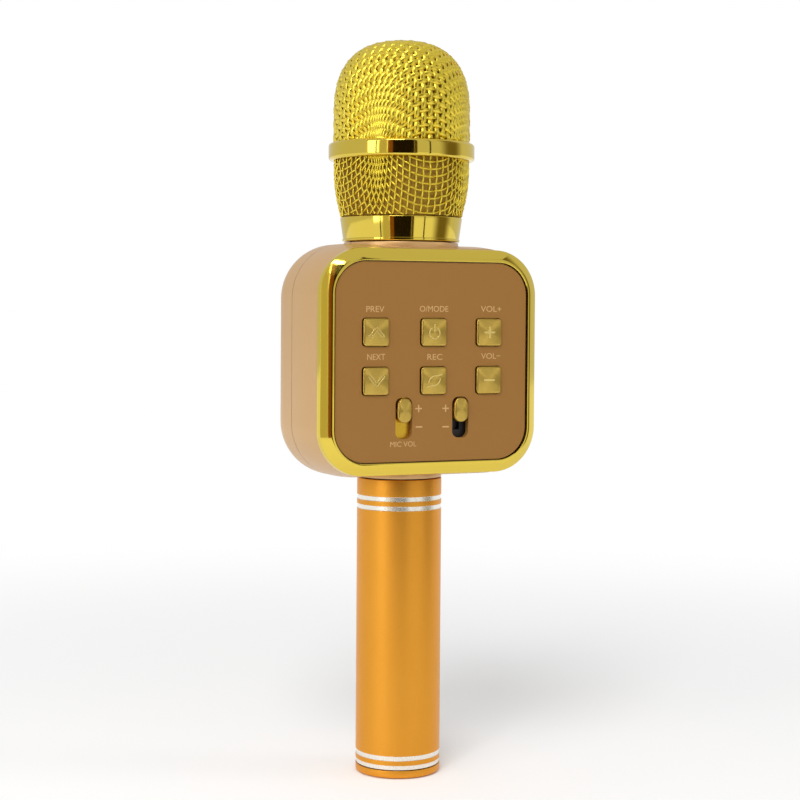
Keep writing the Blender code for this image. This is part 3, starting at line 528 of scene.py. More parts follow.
# Glass-epoxy board under green solder resist.
RESIST = Finish("green_solder_resist", "14532B", "0D3A1D", 0.0, 0.40, 0.05, 1.2, bump_mm=0.006)
# Nickel-plated steel, lightly drawn.
NICKEL = Finish("nickel_plated_steel", "C9C7C2", "A9A6A0", 1.0, 0.26, 0.06, 0.5, bump_mm=0.002)
# Heat-shrink film on the cell.
SHRINK = Finish("blue_shrink_film", "2A5DA8", "1F4A8C", 0.0, 0.32, 0.04, 1.5, bump_mm=0.01)
# Pressed paper pulp, for the speaker's cone.
PULP = Finish("pressed_paper_pulp", "2B2A29", "1A1918", 0.0, 0.90, 0.05, 0.6, bump_mm=0.03, mottle=0.6)
# Sintered ferrite, ground flat.
FERRITE = Finish("sintered_ferrite", "3A3938", "2A2928", 0.2, 0.60, 0.08, 0.5, bump_mm=0.01)
# Gold-tinted brass strip, rolled smooth.
STRIP = Finish("rolled_brass_strip", "DDB23A", "C59A2C", 1.0, 0.30, 0.05, 0.6, bump_mm=0.002, mottle=0.3)
# Screen-printing ink, pale against the bronze.
INK = Finish("pale_screen_ink", "BE9762", "B28A57", 0.0, 0.55, 0.03, 0.5, bump_mm=0.001, mottle=0.15)
# Raised signs moulded with the caps: the brushing polishes their tops.
SIGN = Finish("polished_gold_relief", "E8CE7C", "D2B560", 1.0, 0.22, 0.04, 0.4, bump_mm=0.002, mottle=0.25)


@dataclass(frozen=True)
class BrushedFinish:
    """Gold metal brushed in circles about one centre, which spreads its highlight into an hourglass."""

    name: str
    centre: tuple[float, float, float]
    colour: str = "EAC866"
    dark: str = "A28436"
    roughness: float = 0.29
    ring_mm: float = 0.10         # real brush lines are about a third of this, drawn coarser to show

    def material(self) -> bpy.types.Material:
        """Builds the material once and returns it."""
        if self.name in bpy.data.materials:
            return bpy.data.materials[self.name]
        made, tree = new_material(self.name)
        shader = tree.nodes["Principled BSDF"]
        place = add_node(tree, "ShaderNodeTexCoord").outputs["Object"]
        away = add_node(tree, "ShaderNodeVectorMath", {0: place}, {1: self.centre}, operation="SUBTRACT")
        flat = add_node(tree, "ShaderNodeVectorMath", {0: away.outputs[0]}, {1: (1.0, 0.0, 1.0)},
                        operation="MULTIPLY")
        radius = add_node(tree, "ShaderNodeVectorMath", {0: flat.outputs[0]}, operation="LENGTH")
        lines = add_node(tree, "ShaderNodeTexNoise", {"W": radius.outputs["Value"]},
                         {"Scale": 1.0 / (self.ring_mm * MM), "Detail": 2.0}, noise_dimensions="1D")
        tint(tree, lines.outputs["Fac"], self.colour, self.dark)
        bump = add_node(tree, "ShaderNodeBump", {"Height": lines.outputs["Fac"]},
                        {"Distance": 0.012 * MM, "Strength": 1.0})
        tree.links.new(bump.outputs["Normal"], shader.inputs["Normal"])
        tree.links.new(flat.outputs[0], shader.inputs["Tangent"])
        shader.inputs["Metallic"].default_value = 1.0
        shader.inputs["Roughness"].default_value = self.roughness
        shader.inputs["Anisotropic"].default_value = 0.96
        return made


def dress(obj: Object, finish: Finish | BrushedFinish) -> Object:
    """Gives a piece one finish all over."""
    obj.data.materials.clear()
    obj.data.materials.append(finish.material())
    return obj


def seat(obj: Object, body: str, slot: Slot, *replaced: str) -> Object:
    """Puts a finished piece on its body, and hides the frame nodes it stands for.

    Args:
        obj: The piece, at the origin.
        body: The body it rides on.
        slot: Its material slot in the record. Not used.
        replaced: Nodes that it stands for.

    Returns:
        The same object.
    """
    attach(obj, body)
    if replaced:
        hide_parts(*replaced)
    LOG.info("%s rides on %s, %d faces", obj.name, body, len(obj.data.polygons))
    return obj


# ---- Handle ---------------------------------------------------------------------------------------------
@dataclass
class Handle:
    """The turned handle: an end cap and a tube with bright grooves, in metres up from the base."""

    radius: float = 14.25 * MM
    wall: float = 1.5 * MM
    rounding: float = 0.8 * MM
    cap_top: float = 2.6 * MM
    tube_bottom: float = 2.9 * MM
    tube_top: float = 99.4 * MM
    joint_groove: Point = (2.9 * MM, 4.2 * MM)
    grooves: tuple[float, ...] = (6.65 * MM, 89.85 * MM, 92.95 * MM)
    groove_width: float = 1.3 * MM
    groove_depth: float = 0.2 * MM
    lip: float = 0.12 * MM
    mouth_rounding: float = 0.3 * MM   # of the tube's upper edge
    dish_radii: Point = (11.2 * MM, 11.8 * MM)
    dish_depth: float = 0.5 * MM
    plug_top: float = 4.6 * MM
    plug_gap: float = 0.1 * MM

    def build_cap(self) -> Object:
        """Builds the end cap: a rounded foot, a shallow dish below and a plug above."""
        foot = arc((self.radius - self.rounding, self.rounding), self.rounding, -90, 0, 6)
        top = arc((self.radius - self.lip, self.cap_top - self.lip), self.lip, 0, 90, 3)
        plug = self.radius - self.wall - self.plug_gap
        inner, outer = self.dish_radii
        profile = [(0.0, self.dish_depth), (inner, self.dish_depth), (outer, 0.0), *foot, *top,
                   (plug, self.cap_top), (plug, self.plug_top), (0.0, self.plug_top)]
        return smooth(lathe("handle_cap", profile, closed=False))

    def build_tube(self) -> Object:
        """Builds the tube with its grooves, and marks the grooves as bright metal."""
        low, high = self.joint_groove
        sunk = self.radius - self.groove_depth
        outside = [(sunk, low), (sunk, high), (self.radius, high + self.lip)]
        for centre in self.grooves:
            start, end = centre - self.groove_width / 2, centre + self.groove_width / 2
            outside += [(self.radius, start - self.lip), (sunk, start),
                        (sunk, end), (self.radius, end + self.lip)]
        soft = self.mouth_rounding
        outside += arc((self.radius - soft, self.tube_top - soft), soft, 0, 90, 4)
        bore = self.radius - self.wall
        profile = [*outside, (bore, self.tube_top), (bore, self.tube_bottom)]
        tube = smooth(lathe("handle_tube_skin", profile, closed=True), 25.0)
        dress(tube, ANODISED)
        tube.data.materials.append(BRIGHT_TURNED.material())
        for face in tube.data.polygons:
            across = math.hypot(face.center.x, face.center.y)
            below_mouth = face.center.z < self.tube_top - 2 * self.mouth_rounding
            if sunk * 0.99 < across < self.radius - self.lip / 6 and below_mouth:
                face.material_index = 1
        return tube

    def make(self) -> None:
        """Builds and dresses both pieces and puts them on the housing."""
        seat(dress(self.build_cap(), ANODISED), Body.HOUSING.value, Slot.HANDLE, "end_cap")
        seat(self.build_tube(), Body.HOUSING.value, Slot.HANDLE, "handle_tube")


# ---- Speaker box ----------------------------------------------------------------------------------------
@dataclass
class SpeakerBox:
    """The two painted half shells of the box, with the bosses that meet the handle and the collar."""

    width: float = 80.0 * MM
    height: float = 76.8 * MM
    corner: float = 18.0 * MM
    centre_z: float = BOX_MIDDLE
    front_y: float = -20.4 * MM
    seam_y: float = -2.0 * MM
    seam_gap: float = 0.15 * MM
    draft: float = 1.3 * MM            # how much the front half narrows towards the bezel
    straight_y: float = 4.8 * MM       # where the rear half starts to round
    rear_y: float = 22.0 * MM
    wall: float = 2.0 * MM
    neck_radius: float = 19.3 * MM
    neck_top: float = 178.1 * MM
    neck_bottom: float = 160.0 * MM
    neck_bore: float = 11.3 * MM
    foot_radius: float = 14.25 * MM
    foot_bottom: float = 99.7 * MM
    foot_top: float = 108.0 * MM
    foot_bore: float = 11.55 * MM
    seat_size: tuple[float, float, float] = (67.0 * MM, 62.8 * MM, 9.7 * MM)
    seat_front: float = -22.7 * MM
    window_low: tuple[float, float] = (-26.5 * MM, 111.7 * MM)
    window_high: tuple[float, float] = (26.5 * MM, 154.6 * MM)
    screw_x: float = 31.0 * MM
    screw_z: float = 29.0 * MM
    screw_seat: float = 8.0 * MM
    grille_recess: float = 20.3 * MM
    grille_depth: float = 1.3 * MM
    speaker_opening: float = 18.2 * MM
    pillar_radius: float = 4.2 * MM
    pillar_gap: float = 0.3 * MM       # from the seam to the pillars' ends
    screw_hole: float = 1.6 * MM
    screw_head_hole: float = 2.9 * MM
    boss_rounding: float = 0.25 * MM
    boss_step: float = 0.02 * MM       # keeps the bosses' ends off the seam faces' plane
    margin: float = 1.0 * MM           # how far a tool reaches past what it cuts
    beyond: float = 40.0 * MM          # outside the box on every side

    def half(self, name: str, steps: Sequence[Point], start: float, facing: float, drawn_in: float) -> Object:
        """Builds a closed solid half of the box, from the seam outwards.

        Args:
            name: The new object's name.
            steps: (inset, depth) pairs from the seam on.
            start: y of the seam face.
            facing: -1 for the front half, 1 for the rear one.
            drawn_in: How far inside the outer surface this one lies.

        Returns:
            The closed half.
        """
        face = rounded_face(name, self.width - 2 * drawn_in, self.height - 2 * drawn_in,
                            self.corner - drawn_in, Vector((0.0, start, self.centre_z)), facing, segments=20)
        return close_back(inset_along(face, steps))

    def front_steps(self, drawn_in: float) -> list[Point]:
        """Steps of the front half: a side that curves gently in towards the bezel.

        Args:
            drawn_in: How far inside the outer surface it lies.

        Returns:
            (inset, depth) pairs from the seam on.
        """
        depth = (self.seam_y - self.seam_gap) - (self.front_y + drawn_in)
        steps, last = [], 0.0
        for i in range(1, 13):
            inset = self.draft * (i / 12) ** 2
            steps.append((inset - last, depth / 12))
            last = inset
        return steps

    def rear_steps(self, drawn_in: float) -> list[Point]:
        """Steps of the rear half: a straight side and then a quarter round.

        Args:
            drawn_in: How far inside the outer surface it lies.

        Returns:
            (inset, depth) pairs from the seam on.
        """
        radius = self.rear_y - self.straight_y - drawn_in
        curve = arc((0.0, 0.0), radius, 0, 90, 22)
        steps = [(0.0, self.straight_y - self.seam_y - self.seam_gap)]
        steps += [(x0 - x1, y1 - y0) for (x0, y0), (x1, y1) in zip(curve, curve[1:])]
        return steps

    def bosses(self, shell: Object, facing: float) -> Object:
        """Joins the neck boss and the handle boss to a half, each cut at the seam.

        Args:
            shell: The half.
            facing: -1 for the front half, 1 for the rear one.

        Returns:
            The same half.
        """
        for radius, low, high in ((self.neck_radius, self.neck_bottom, self.neck_top),
                                  (self.foot_radius, self.foot_bottom, self.foot_top)):
            boss = rod((0, 0, low), (0, 0, high), radius, 160)
            apply_modifier(boss, "BEVEL", width=self.boss_rounding, segments=2, limit_method="ANGLE",
                           angle_limit=math.radians(60))
            edge = self.seam_y + facing * (self.seam_gap + self.boss_step)
            near, far = (edge, self.beyond) if facing < 0 else (-self.beyond, edge)
            other_half = block((-self.beyond, near, low - self.margin), (self.beyond, far, high + self.margin))
            boolean(boss, other_half, "DIFFERENCE")
            boolean(shell, boss, "UNION")
        return shell

    def bores(self, shell: Object) -> Object:
        """Cuts the round holes that lead to the handle and to the collar."""
        boolean(shell, rod((0, 0, self.foot_bottom - self.margin), (0, 0, self.foot_top + 4 * self.margin),
                           self.foot_bore), "DIFFERENCE")
        return boolean(shell, rod((0, 0, self.neck_bottom), (0, 0, self.neck_top + self.margin),
                                  self.neck_bore), "DIFFERENCE")

    def screw_places(self) -> list[Point]:
        """Returns the four screws' (x, z) places."""
        return [(x, self.centre_z + z) for x in (-self.screw_x, self.screw_x)
                for z in (-self.screw_z, self.screw_z)]

    def build_front(self, holes: Sequence[Callable[[], Object]]) -> Object:
        """Builds the front half, with its raised seat, its window and the socket openings.

        Args:
            holes: Functions that each return a tool for one opening.

        Returns:
            The front half.
        """
        start = self.seam_y - self.seam_gap
        shell = self.half("case_front", self.front_steps(0.0), start, -1.0, 0.0)
        width, height, corner = self.seat_size
        seat_face = rounded_face("seat", width, height, corner,
                                 Vector((0.0, self.front_y + self.margin, self.centre_z)))
        rise = self.front_y + self.margin - self.seat_front
        boolean(shell, close_back(inset_along(seat_face, [(0.0, rise)])), "UNION")
        self.bosses(shell, -1.0)
        cavity = self.half("cavity", [(0.0, self.wall), *self.front_steps(self.wall)], start + self.wall,
                           -1.0, self.wall)
        boolean(shell, cavity, "DIFFERENCE")
        (x0, z0), (x1, z1) = self.window_low, self.window_high
        boolean(shell, block((x0, -self.beyond, z0), (x1, self.front_y + 2 * self.wall, z1)), "DIFFERENCE")
        for hole in holes:
            boolean(shell, hole(), "DIFFERENCE")
        return smooth(weld(self.bores(shell), 5 * MERGE), 40.0)

    def build_rear(self) -> Object:
        """Builds the rear half, with the grille's recess and the pillars of the screws."""
        start = self.seam_y + self.seam_gap
        shell = self.half("case_rear", self.rear_steps(0.0), start, 1.0, 0.0)
        self.bosses(shell, 1.0)
        cavity = self.half("cavity", [(0.0, self.wall), *self.rear_steps(self.wall)], start - self.wall,
                           1.0, self.wall)
        boolean(shell, cavity, "DIFFERENCE")
        for x, z in self.screw_places():
            boolean(shell, rod((x, start + self.pillar_gap, z), (x, self.screw_seat + 4 * self.margin, z),
                               self.pillar_radius), "UNION")
        back, middle = self.beyond, self.centre_z
        for x, z in self.screw_places():
            boolean(shell, rod((x, -back / 4, z), (x, back, z), self.screw_hole, 24), "DIFFERENCE")
            boolean(shell, rod((x, self.screw_seat, z), (x, back, z), self.screw_head_hole), "DIFFERENCE")
        for inner, radius in ((back / 4, self.speaker_opening),
                              (self.rear_y - self.grille_depth, self.grille_recess)):
            boolean(shell, rod((0, inner, middle), (0, back, middle), radius, 96), "DIFFERENCE")
        return smooth(weld(self.bores(shell), 5 * MERGE), 40.0)

    def make(self, holes: Sequence[Callable[[], Object]]) -> None:
        """Builds and dresses both halves and puts them on the housing."""
        seat(dress(self.build_front(holes), CHAMPAGNE), Body.HOUSING.value, Slot.CASE, "front_shell")
        seat(dress(self.build_rear(), CHAMPAGNE), Body.HOUSING.value, Slot.CASE, "rear_shell")


@dataclass
class SocketOpenings:
    """The openings in the right-hand side that the three sockets look out of."""

    outside: float = 45.0 * MM
    inside: float = 36.0 * MM
    gap: float = 0.3 * MM

    def around(self, node: str) -> Object:
        """Returns a tool that clears one flat socket."""
        low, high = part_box(node)
        return block((self.inside, low.y - self.gap, low.z - self.gap),
                     (self.outside, high.y + self.gap, high.z + self.gap))

    def round_one(self, node: str) -> Object:
        """Returns a tool that clears the round socket."""
        low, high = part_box(node)
        middle = (low + high) / 2
        radius = (high.z - low.z) / 2 + self.gap
        return rod((self.inside, middle.y, middle.z), (self.outside, middle.y, middle.z), radius)

    def tools(self) -> list[Callable[[], Object]]:
        """Returns a function for each opening."""
        return [lambda: self.around("usb_socket"), lambda: self.around("card_socket"),
                lambda: self.round_one("audio_jack")]


@dataclass
class SpeakerGrille:
    """The perforated disc let into the back of the box."""

    radius: float = 20.0 * MM
    front: float = 21.0 * MM
    back: float = 22.0 * MM
    centre_z: float = BOX_MIDDLE
    pitch: float = 2.3 * MM
    hole: float = 0.75 * MM
    field_radius: float = 17.2 * MM

    def build(self) -> Object:
        """Builds the disc with holes in a hexagonal field."""
        middle = (0.0, self.centre_z)
        outlines = [arc(middle, self.radius, 0, 360 - 360 / 96, 95)]
        rows = int(self.field_radius / (self.pitch * 0.866)) + 1
        for row in range(-rows, rows + 1):
            shift = 0.5 * self.pitch * (row % 2)
            for column in range(-rows - 1, rows + 2):
                x, z = column * self.pitch + shift, row * self.pitch * 0.866
                if math.hypot(x, z) < self.field_radius:
                    outlines.append(arc((x, self.centre_z + z), self.hole, 0, 330, 11))
        return smooth(flat_plate("speaker_grille_disc", outlines, self.front, self.back))

    def make(self) -> None:
        """Builds the disc and puts it on the housing."""
        seat(dress(self.build(), CHAMPAGNE), Body.HOUSING.value, Slot.CASE, "speaker_grille")


# ---- Bezel, panel and words -----------------------------------------------------------------------------
@dataclass
class Bezel:
    """The plated frame around the panel."""

    width: float = 77.6 * MM
    height: float = 73.4 * MM
    corner: float = 15.0 * MM
    back: float = -20.7 * MM
    centre_z: float = BOX_MIDDLE
    steps: tuple[Point, ...] = (
        (0.0, 2.4 * MM), (0.10 * MM, 0.30 * MM), (0.30 * MM, 0.26 * MM), (1.30 * MM, 0.94 * MM),
        (1.30 * MM, 0.90 * MM), (0.20 * MM, 0.10 * MM), (0.70 * MM, 0.0001 * MM), (0.20 * MM, -0.14 * MM),
        (0.0, -4.76 * MM))

    def build(self) -> Object:
        """Draws the outline forwards, inwards and back again, and closes the ring behind."""
        face = rounded_face("bezel", self.width, self.height, self.corner,
                            Vector((0.0, self.back, self.centre_z)), -1.0, segments=24)
        inset_along(face, self.steps)
        with editing(face):
            bpy.ops.mesh.select_mode(type="FACE")
            bpy.ops.mesh.select_all(action="DESELECT")
            shape = bmesh.from_edit_mesh(face.data)
            for flat in shape.faces:
                # Only the first face and the moved one have a side for every chord of the outline.
                flat.select = len(flat.verts) > 8
            bmesh.update_edit_mesh(face.data)
            bpy.ops.mesh.delete(type="ONLY_FACE")
            bpy.ops.mesh.select_mode(type="EDGE")
            bpy.ops.mesh.select_all(action="DESELECT")
            bpy.ops.mesh.select_non_manifold()
            bpy.ops.mesh.bridge_edge_loops()
            bpy.ops.mesh.select_all(action="SELECT")
            bpy.ops.mesh.normals_make_consistent(inside=False)
        return smooth(face, 30.0)

    def make(self) -> None:
        """Builds the bezel and puts it on the housing."""
        seat(dress(self.build(), PLATED), Body.HOUSING.value, Slot.CHROME, "front_bezel")


@dataclass
class Panel:
    """The bronze plate with the key holes, the slots and the printed words."""

    width: float = 68.6 * MM
    height: float = 64.4 * MM
    corner: float = 10.5 * MM
    front: float = -25.0 * MM
    back: float = -23.0 * MM
    centre_z: float = BOX_MIDDLE
    columns: tuple[float, ...] = (-20.35 * MM, 0.2 * MM, 20.35 * MM)
    rows: tuple[float, ...] = (148.5 * MM, 132.8 * MM)
    slots: tuple[float, ...] = (-10.2 * MM, 10.2 * MM)
    slot_z: float = 120.75 * MM
    key_hole: tuple[float, float, float] = (9.6 * MM, 9.4 * MM, 1.3 * MM)      # width, height, corner
    slot_hole: tuple[float, float, float] = (5.9 * MM, 13.4 * MM, 2.2 * MM)
    rounding: float = 0.22 * MM
    ink: float = 0.02 * MM
    # text, centre x, centre z, width and capital height
    words: tuple[tuple[str, float, float, float, float], ...] = (
        ("PREV", -20.5, 155.9, 6.3, 1.9), ("O/MODE", 0.4, 156.1, 10.3, 1.9), ("VOL+", 21.3, 156.2, 7.6, 1.9),
        ("NEXT", -20.1, 140.6, 6.3, 1.9), ("REC", 0.8, 140.5, 5.4, 1.9), ("VOL−", 21.3, 140.7, 7.1, 1.9),
        ("MIC VOL", -10.3, 112.4, 9.3, 1.7), ("+", -4.9, 123.8, 2.4, 2.4), ("+", 4.85, 123.7, 2.4, 2.4),
        ("−", -4.75, 117.85, 2.4, 0.45), ("−", 4.9, 117.7, 2.4, 0.45))

    def build(self) -> Object:
        """Builds the plate with its openings and a softened edge."""
        outlines = [rounded_outline(self.width, self.height, self.corner, (0.0, self.centre_z), 16)]
        for z in self.rows:
            outlines += [rounded_outline(*self.key_hole, (x, z), 8) for x in self.columns]
        outlines += [rounded_outline(*self.slot_hole, (x, self.slot_z), 10) for x in self.slots]
        plate = flat_plate("control_panel", outlines, self.front, self.back)
        apply_modifier(plate, "BEVEL", width=self.rounding, segments=2, limit_method="ANGLE",
                       angle_limit=math.radians(50))
        smooth(plate, 30.0)
        return apply_modifier(plate, "WEIGHTED_NORMAL", keep_sharp=True, weight=100)

    def word(self, number: int, text: str, x: float, z: float, width: float, height: float) -> Object:
        """Prints one word on the plate.

        Args:
            number: Its place in the list, for its name.
            text: What it says.
            x: Centre, in mm.
            z: Centre, in mm.
            width: Width in mm.
            height: Height of its capitals in mm.

        Returns:
            The word as a thin mesh on the plate's surface.
        """
        curve = bpy.data.curves.new(f"word_{number}", "FONT")
        curve.body = text
        curve.extrude = self.ink / 2
        curve.resolution_u = 4
        obj = bpy.data.objects.new(f"word_{number}", curve)
        bpy.context.scene.collection.objects.link(obj)
        select_only(obj)
        bpy.ops.object.convert(target="MESH")
        low = [min(v.co[i] for v in obj.data.vertices) for i in (0, 1)]
        high = [max(v.co[i] for v in obj.data.vertices) for i in (0, 1)]
        scale = (width * MM / (high[0] - low[0]), height * MM / (high[1] - low[1]))
        for vertex in obj.data.vertices:
            vertex.co.x = (vertex.co.x - (low[0] + high[0]) / 2) * scale[0]
            vertex.co.y = (vertex.co.y - (low[1] + high[1]) / 2) * scale[1]
        obj.rotation_euler = (math.pi / 2, 0, 0)
        obj.location = (x * MM, self.front - self.ink / 2, z * MM)
        return weld(bake_place(obj))

    def make(self) -> None:
        """Builds the plate and its words and puts them on the housing."""
        seat(dress(self.build(), BRONZE), Body.HOUSING.value, Slot.PANEL, "front_panel")
        for number, word in enumerate(self.words, start=1):
            seat(dress(self.word(number, *word), INK), Body.HOUSING.value, Slot.PANEL)


# ---- Keys and knobs -------------------------------------------------------------------------------------
def ribbon(points: Sequence[Point], width: float) -> list[Point]:
    """Outline of a stroke with round ends along an open line.

    Args:
        points: The line's (x, z) points.
        width: The stroke's width.

    Returns:
        The outline's points.
    """
    half = width / 2
    normals: list[Point] = []
    for i in range(len(points)):
        before, after = points[max(i - 1, 0)], points[min(i + 1, len(points) - 1)]
        dx, dz = after[0] - before[0], after[1] - before[1]
        size = math.hypot(dx, dz)
        normals.append((-dz / size, dx / size))
    left = [(p[0] + n[0] * half, p[1] + n[1] * half) for p, n in zip(points, normals)]
    right = [(p[0] - n[0] * half, p[1] - n[1] * half) for p, n in zip(points, normals)]
    first = math.degrees(math.atan2(normals[0][1], normals[0][0]))
    last = math.degrees(math.atan2(normals[-1][1], normals[-1][0]))
    start = arc(points[0], half, first + 180, first, 6)[1:-1][::-1]
    end = arc(points[-1], half, last, last - 180, 6)[1:-1]
    return left + end + right[::-1] + start[::-1]


def moved(outline: Sequence[Point], x: float, z: float) -> list[Point]:
    """Returns an outline given in mm, moved to a place in metres."""
    return [(x + px * MM, z + pz * MM) for px, pz in outline]


class Icon(Enum):
    """The raised signs on the six caps, drawn in mm about each cap's centre."""

    PREVIOUS = "previous"
    MODE = "mode"
    LOUDER = "louder"
    NEXT = "next"
    RECORD = "record"
    QUIETER = "quieter"

    def outlines(self) -> list[list[Point]]:
        """Returns the sign's outlines."""
        bar = 0.46
        if self in (Icon.PREVIOUS, Icon.NEXT):
            way = 1.0 if self is Icon.PREVIOUS else -1.0
            found = []
            for reach, foot, tip in ((2.75, -1.35, 1.75), (2.15, -1.95, 0.55)):
                arm = [(-reach, way * foot), (-reach / 2, way * (foot + tip) / 2), (0.0, way * tip),
                       (reach / 2, way * (foot + tip) / 2), (reach, way * foot)]
                found.append(ribbon(arm, bar))
            return found
        if self is Icon.MODE:
            return [ribbon(arc((0.0, -0.25), 1.85, 122, 418, 28), bar), ribbon([(0.0, 0.3), (0.0, 2.3)], bar)]
        if self is Icon.RECORD:
            upper = arc((0.4, -0.9), 2.5, 172, 78, 14) + [(2.6, 2.0)]
            lower = [(-x, -z) for x, z in upper]
            return [ribbon(upper, bar), ribbon(lower, bar)]
        h, b = 2.0, 0.36
        if self is Icon.QUIETER:
            return [[(-h, -b), (h, -b), (h, b), (-h, b)]]
        return [[(-h, -b), (-b, -b), (-b, -h), (b, -h), (b, -b), (h, -b), (h, b), (b, b), (b, h), (-b, h),
                 (-b, b), (-h, b)]]


@dataclass
class Key:
    """One brushed cap with its flange and its raised sign."""

    body: str
    node: str
    icon: Icon
    x: float
    z: float
    width: float = 9.0 * MM
    height: float = 8.8 * MM
    corner: float = 1.0 * MM
    flange: float = 0.8 * MM
    back: float = -21.9 * MM
    front: float = -26.0 * MM
    relief: float = 0.15 * MM
    sign_chamfer: float = 0.07 * MM
    # (inset, depth) steps of the chamfer around the face
    rim: tuple[Point, ...] = ((0.06 * MM, 0.10 * MM), (0.26 * MM, 0.20 * MM), (0.12 * MM, 0.04 * MM))

    def build_cap(self) -> Object:
        """Builds the flange and the cap, with a narrow chamfer around the face."""
        face = rounded_face(self.node + "_cap", self.width + 2 * self.flange, self.height + 2 * self.flange,
                            self.corner + self.flange, Vector((self.x, self.back, self.z)), segments=8)
        rise = self.back - self.flange - self.front - sum(depth for _, depth in self.rim)
        steps = [(0.0, self.flange), (self.flange, 0.0), (0.0, rise), *self.rim]
        return smooth(close_back(inset_along(face, steps)), 30.0)

    def build_sign(self) -> Object:
        """Builds the raised sign, sunk a little into the cap's face."""
        outlines = [moved(outline, self.x, self.z) for outline in self.icon.outlines()]
        sign = flat_plate(self.node + "_sign", outlines, self.front - self.relief, self.front + self.relief)
        apply_modifier(sign, "BEVEL", width=self.sign_chamfer, segments=1, limit_method="ANGLE",
                       angle_limit=math.radians(60))
        return sign

    def make(self) -> None:
        """Builds the cap and its sign and puts them on the key's body."""
        low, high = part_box(self.node)
        middle = (low + high) / 2
        finish = BrushedFinish("brushed_gold_" + self.node, (middle.x, middle.y, middle.z))
        seat(dress(self.build_cap(), finish), self.body, Slot.BRUSHED, self.node)
        seat(dress(self.build_sign(), SIGN), self.body, Slot.BRUSHED)


@dataclass
class Knob:
    """A slider's brushed knob on its stem."""

    body: Body
    node: str
    x: float
    has_strip: bool = False
    z: float = 123.2 * MM
    width: float = 5.0 * MM
    height: float = 7.9 * MM
    corner: float = 2.35 * MM
    back: float = -22.9 * MM
    front: float = -26.2 * MM
    rim: tuple[Point, ...] = ((0.08 * MM, 0.20 * MM), (0.30 * MM, 0.24 * MM), (0.14 * MM, 0.06 * MM))
    stem: Point = (0.8 * MM, 1.5 * MM)         # half its width and half its height
    stem_overlap: float = 0.2 * MM
    strip: tuple[float, float, float] = (6.6 * MM, 14.2 * MM, 1.6 * MM)        # width, height, corner
    strip_drop: float = 2.75 * MM              # from the knob's middle down to the strip's
    strip_front: float = -22.94 * MM
    strip_back: float = -22.76 * MM

    def build(self) -> Object:
        """Builds the knob's stem and its rounded cap with a chamfered rim."""
        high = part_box(self.node)[1]
        face = rounded_face(self.node + "_cap", self.width, self.height, self.corner,
                            Vector((self.x, self.back, self.z)), segments=12)
        rise = self.back - self.front - sum(depth for _, depth in self.rim)
        knob = close_back(inset_along(face, [(0.0, rise), *self.rim]))
        wide, tall = self.stem
        stem = block((self.x - wide, self.back - self.stem_overlap, self.z - tall),
                     (self.x + wide, high.y, self.z + tall))
        return smooth(boolean(knob, stem, "UNION"), 30.0)

    def build_strip(self) -> Object:
        """Builds the thin gold strip behind the knob that closes the slot below it."""
        outline = rounded_outline(*self.strip, (self.x, self.z - self.strip_drop), 6)
        return smooth(flat_plate(self.node + "_strip", [outline], self.strip_front, self.strip_back))

    def make(self) -> None:
        """Builds the knob and puts it on its slider's body."""
        finish = BrushedFinish("brushed_gold_" + self.node, (self.x, self.front, self.z))
        seat(dress(self.build(), finish), self.body.value, Slot.BRUSHED, self.node)
        if self.has_strip:
            seat(dress(self.build_strip(), STRIP), self.body.value, Slot.BRUSHED)


# ---- Grille head ----------------------------------------------------------------------------------------
@dataclass
class NetSurface:
    """A turned surface as height and radius against the distance along its meridian, from a pole."""

    profile: Sequence[Point]          # (radius, height) from the pole on
    radii: np.ndarray = field(init=False)
    heights: np.ndarray = field(init=False)
    along: np.ndarray = field(init=False)

    def __post_init__(self) -> None:
        """Adds up the distances along the profile."""
        self.radii, self.heights = (np.array(values) for values in zip(*self.profile))
        steps = np.hypot(np.diff(self.radii), np.diff(self.heights))
        self.along = np.concatenate([[0.0], np.cumsum(steps)])

    def place(self, s: np.ndarray, turn: np.ndarray) -> np.ndarray:
        """Returns the points at distances along and turns around."""
        radius = np.interp(s, self.along, self.radii)
        height = np.interp(s, self.along, self.heights)
        return np.stack([radius * np.cos(turn), radius * np.sin(turn), height], axis=-1)

    def normal(self, s: np.ndarray, turn: np.ndarray) -> np.ndarray:
        """Normals of the surface.

        Args:
            s: Distances along the meridian.
            turn: Azimuths.

        Returns:
            A unit vector for each place, outwards when the profile runs down from the top.
        """
        step = 0.2 * MM
        dr = np.interp(s + step, self.along, self.radii) - np.interp(s - step, self.along, self.radii)
        dz = np.interp(s + step, self.along, self.heights) - np.interp(s - step, self.along, self.heights)
        size = np.maximum(np.hypot(dr, dz), 1e-9)
        out, up = -dz / size, dr / size
        return np.stack([out * np.cos(turn), out * np.sin(turn), up], axis=-1)


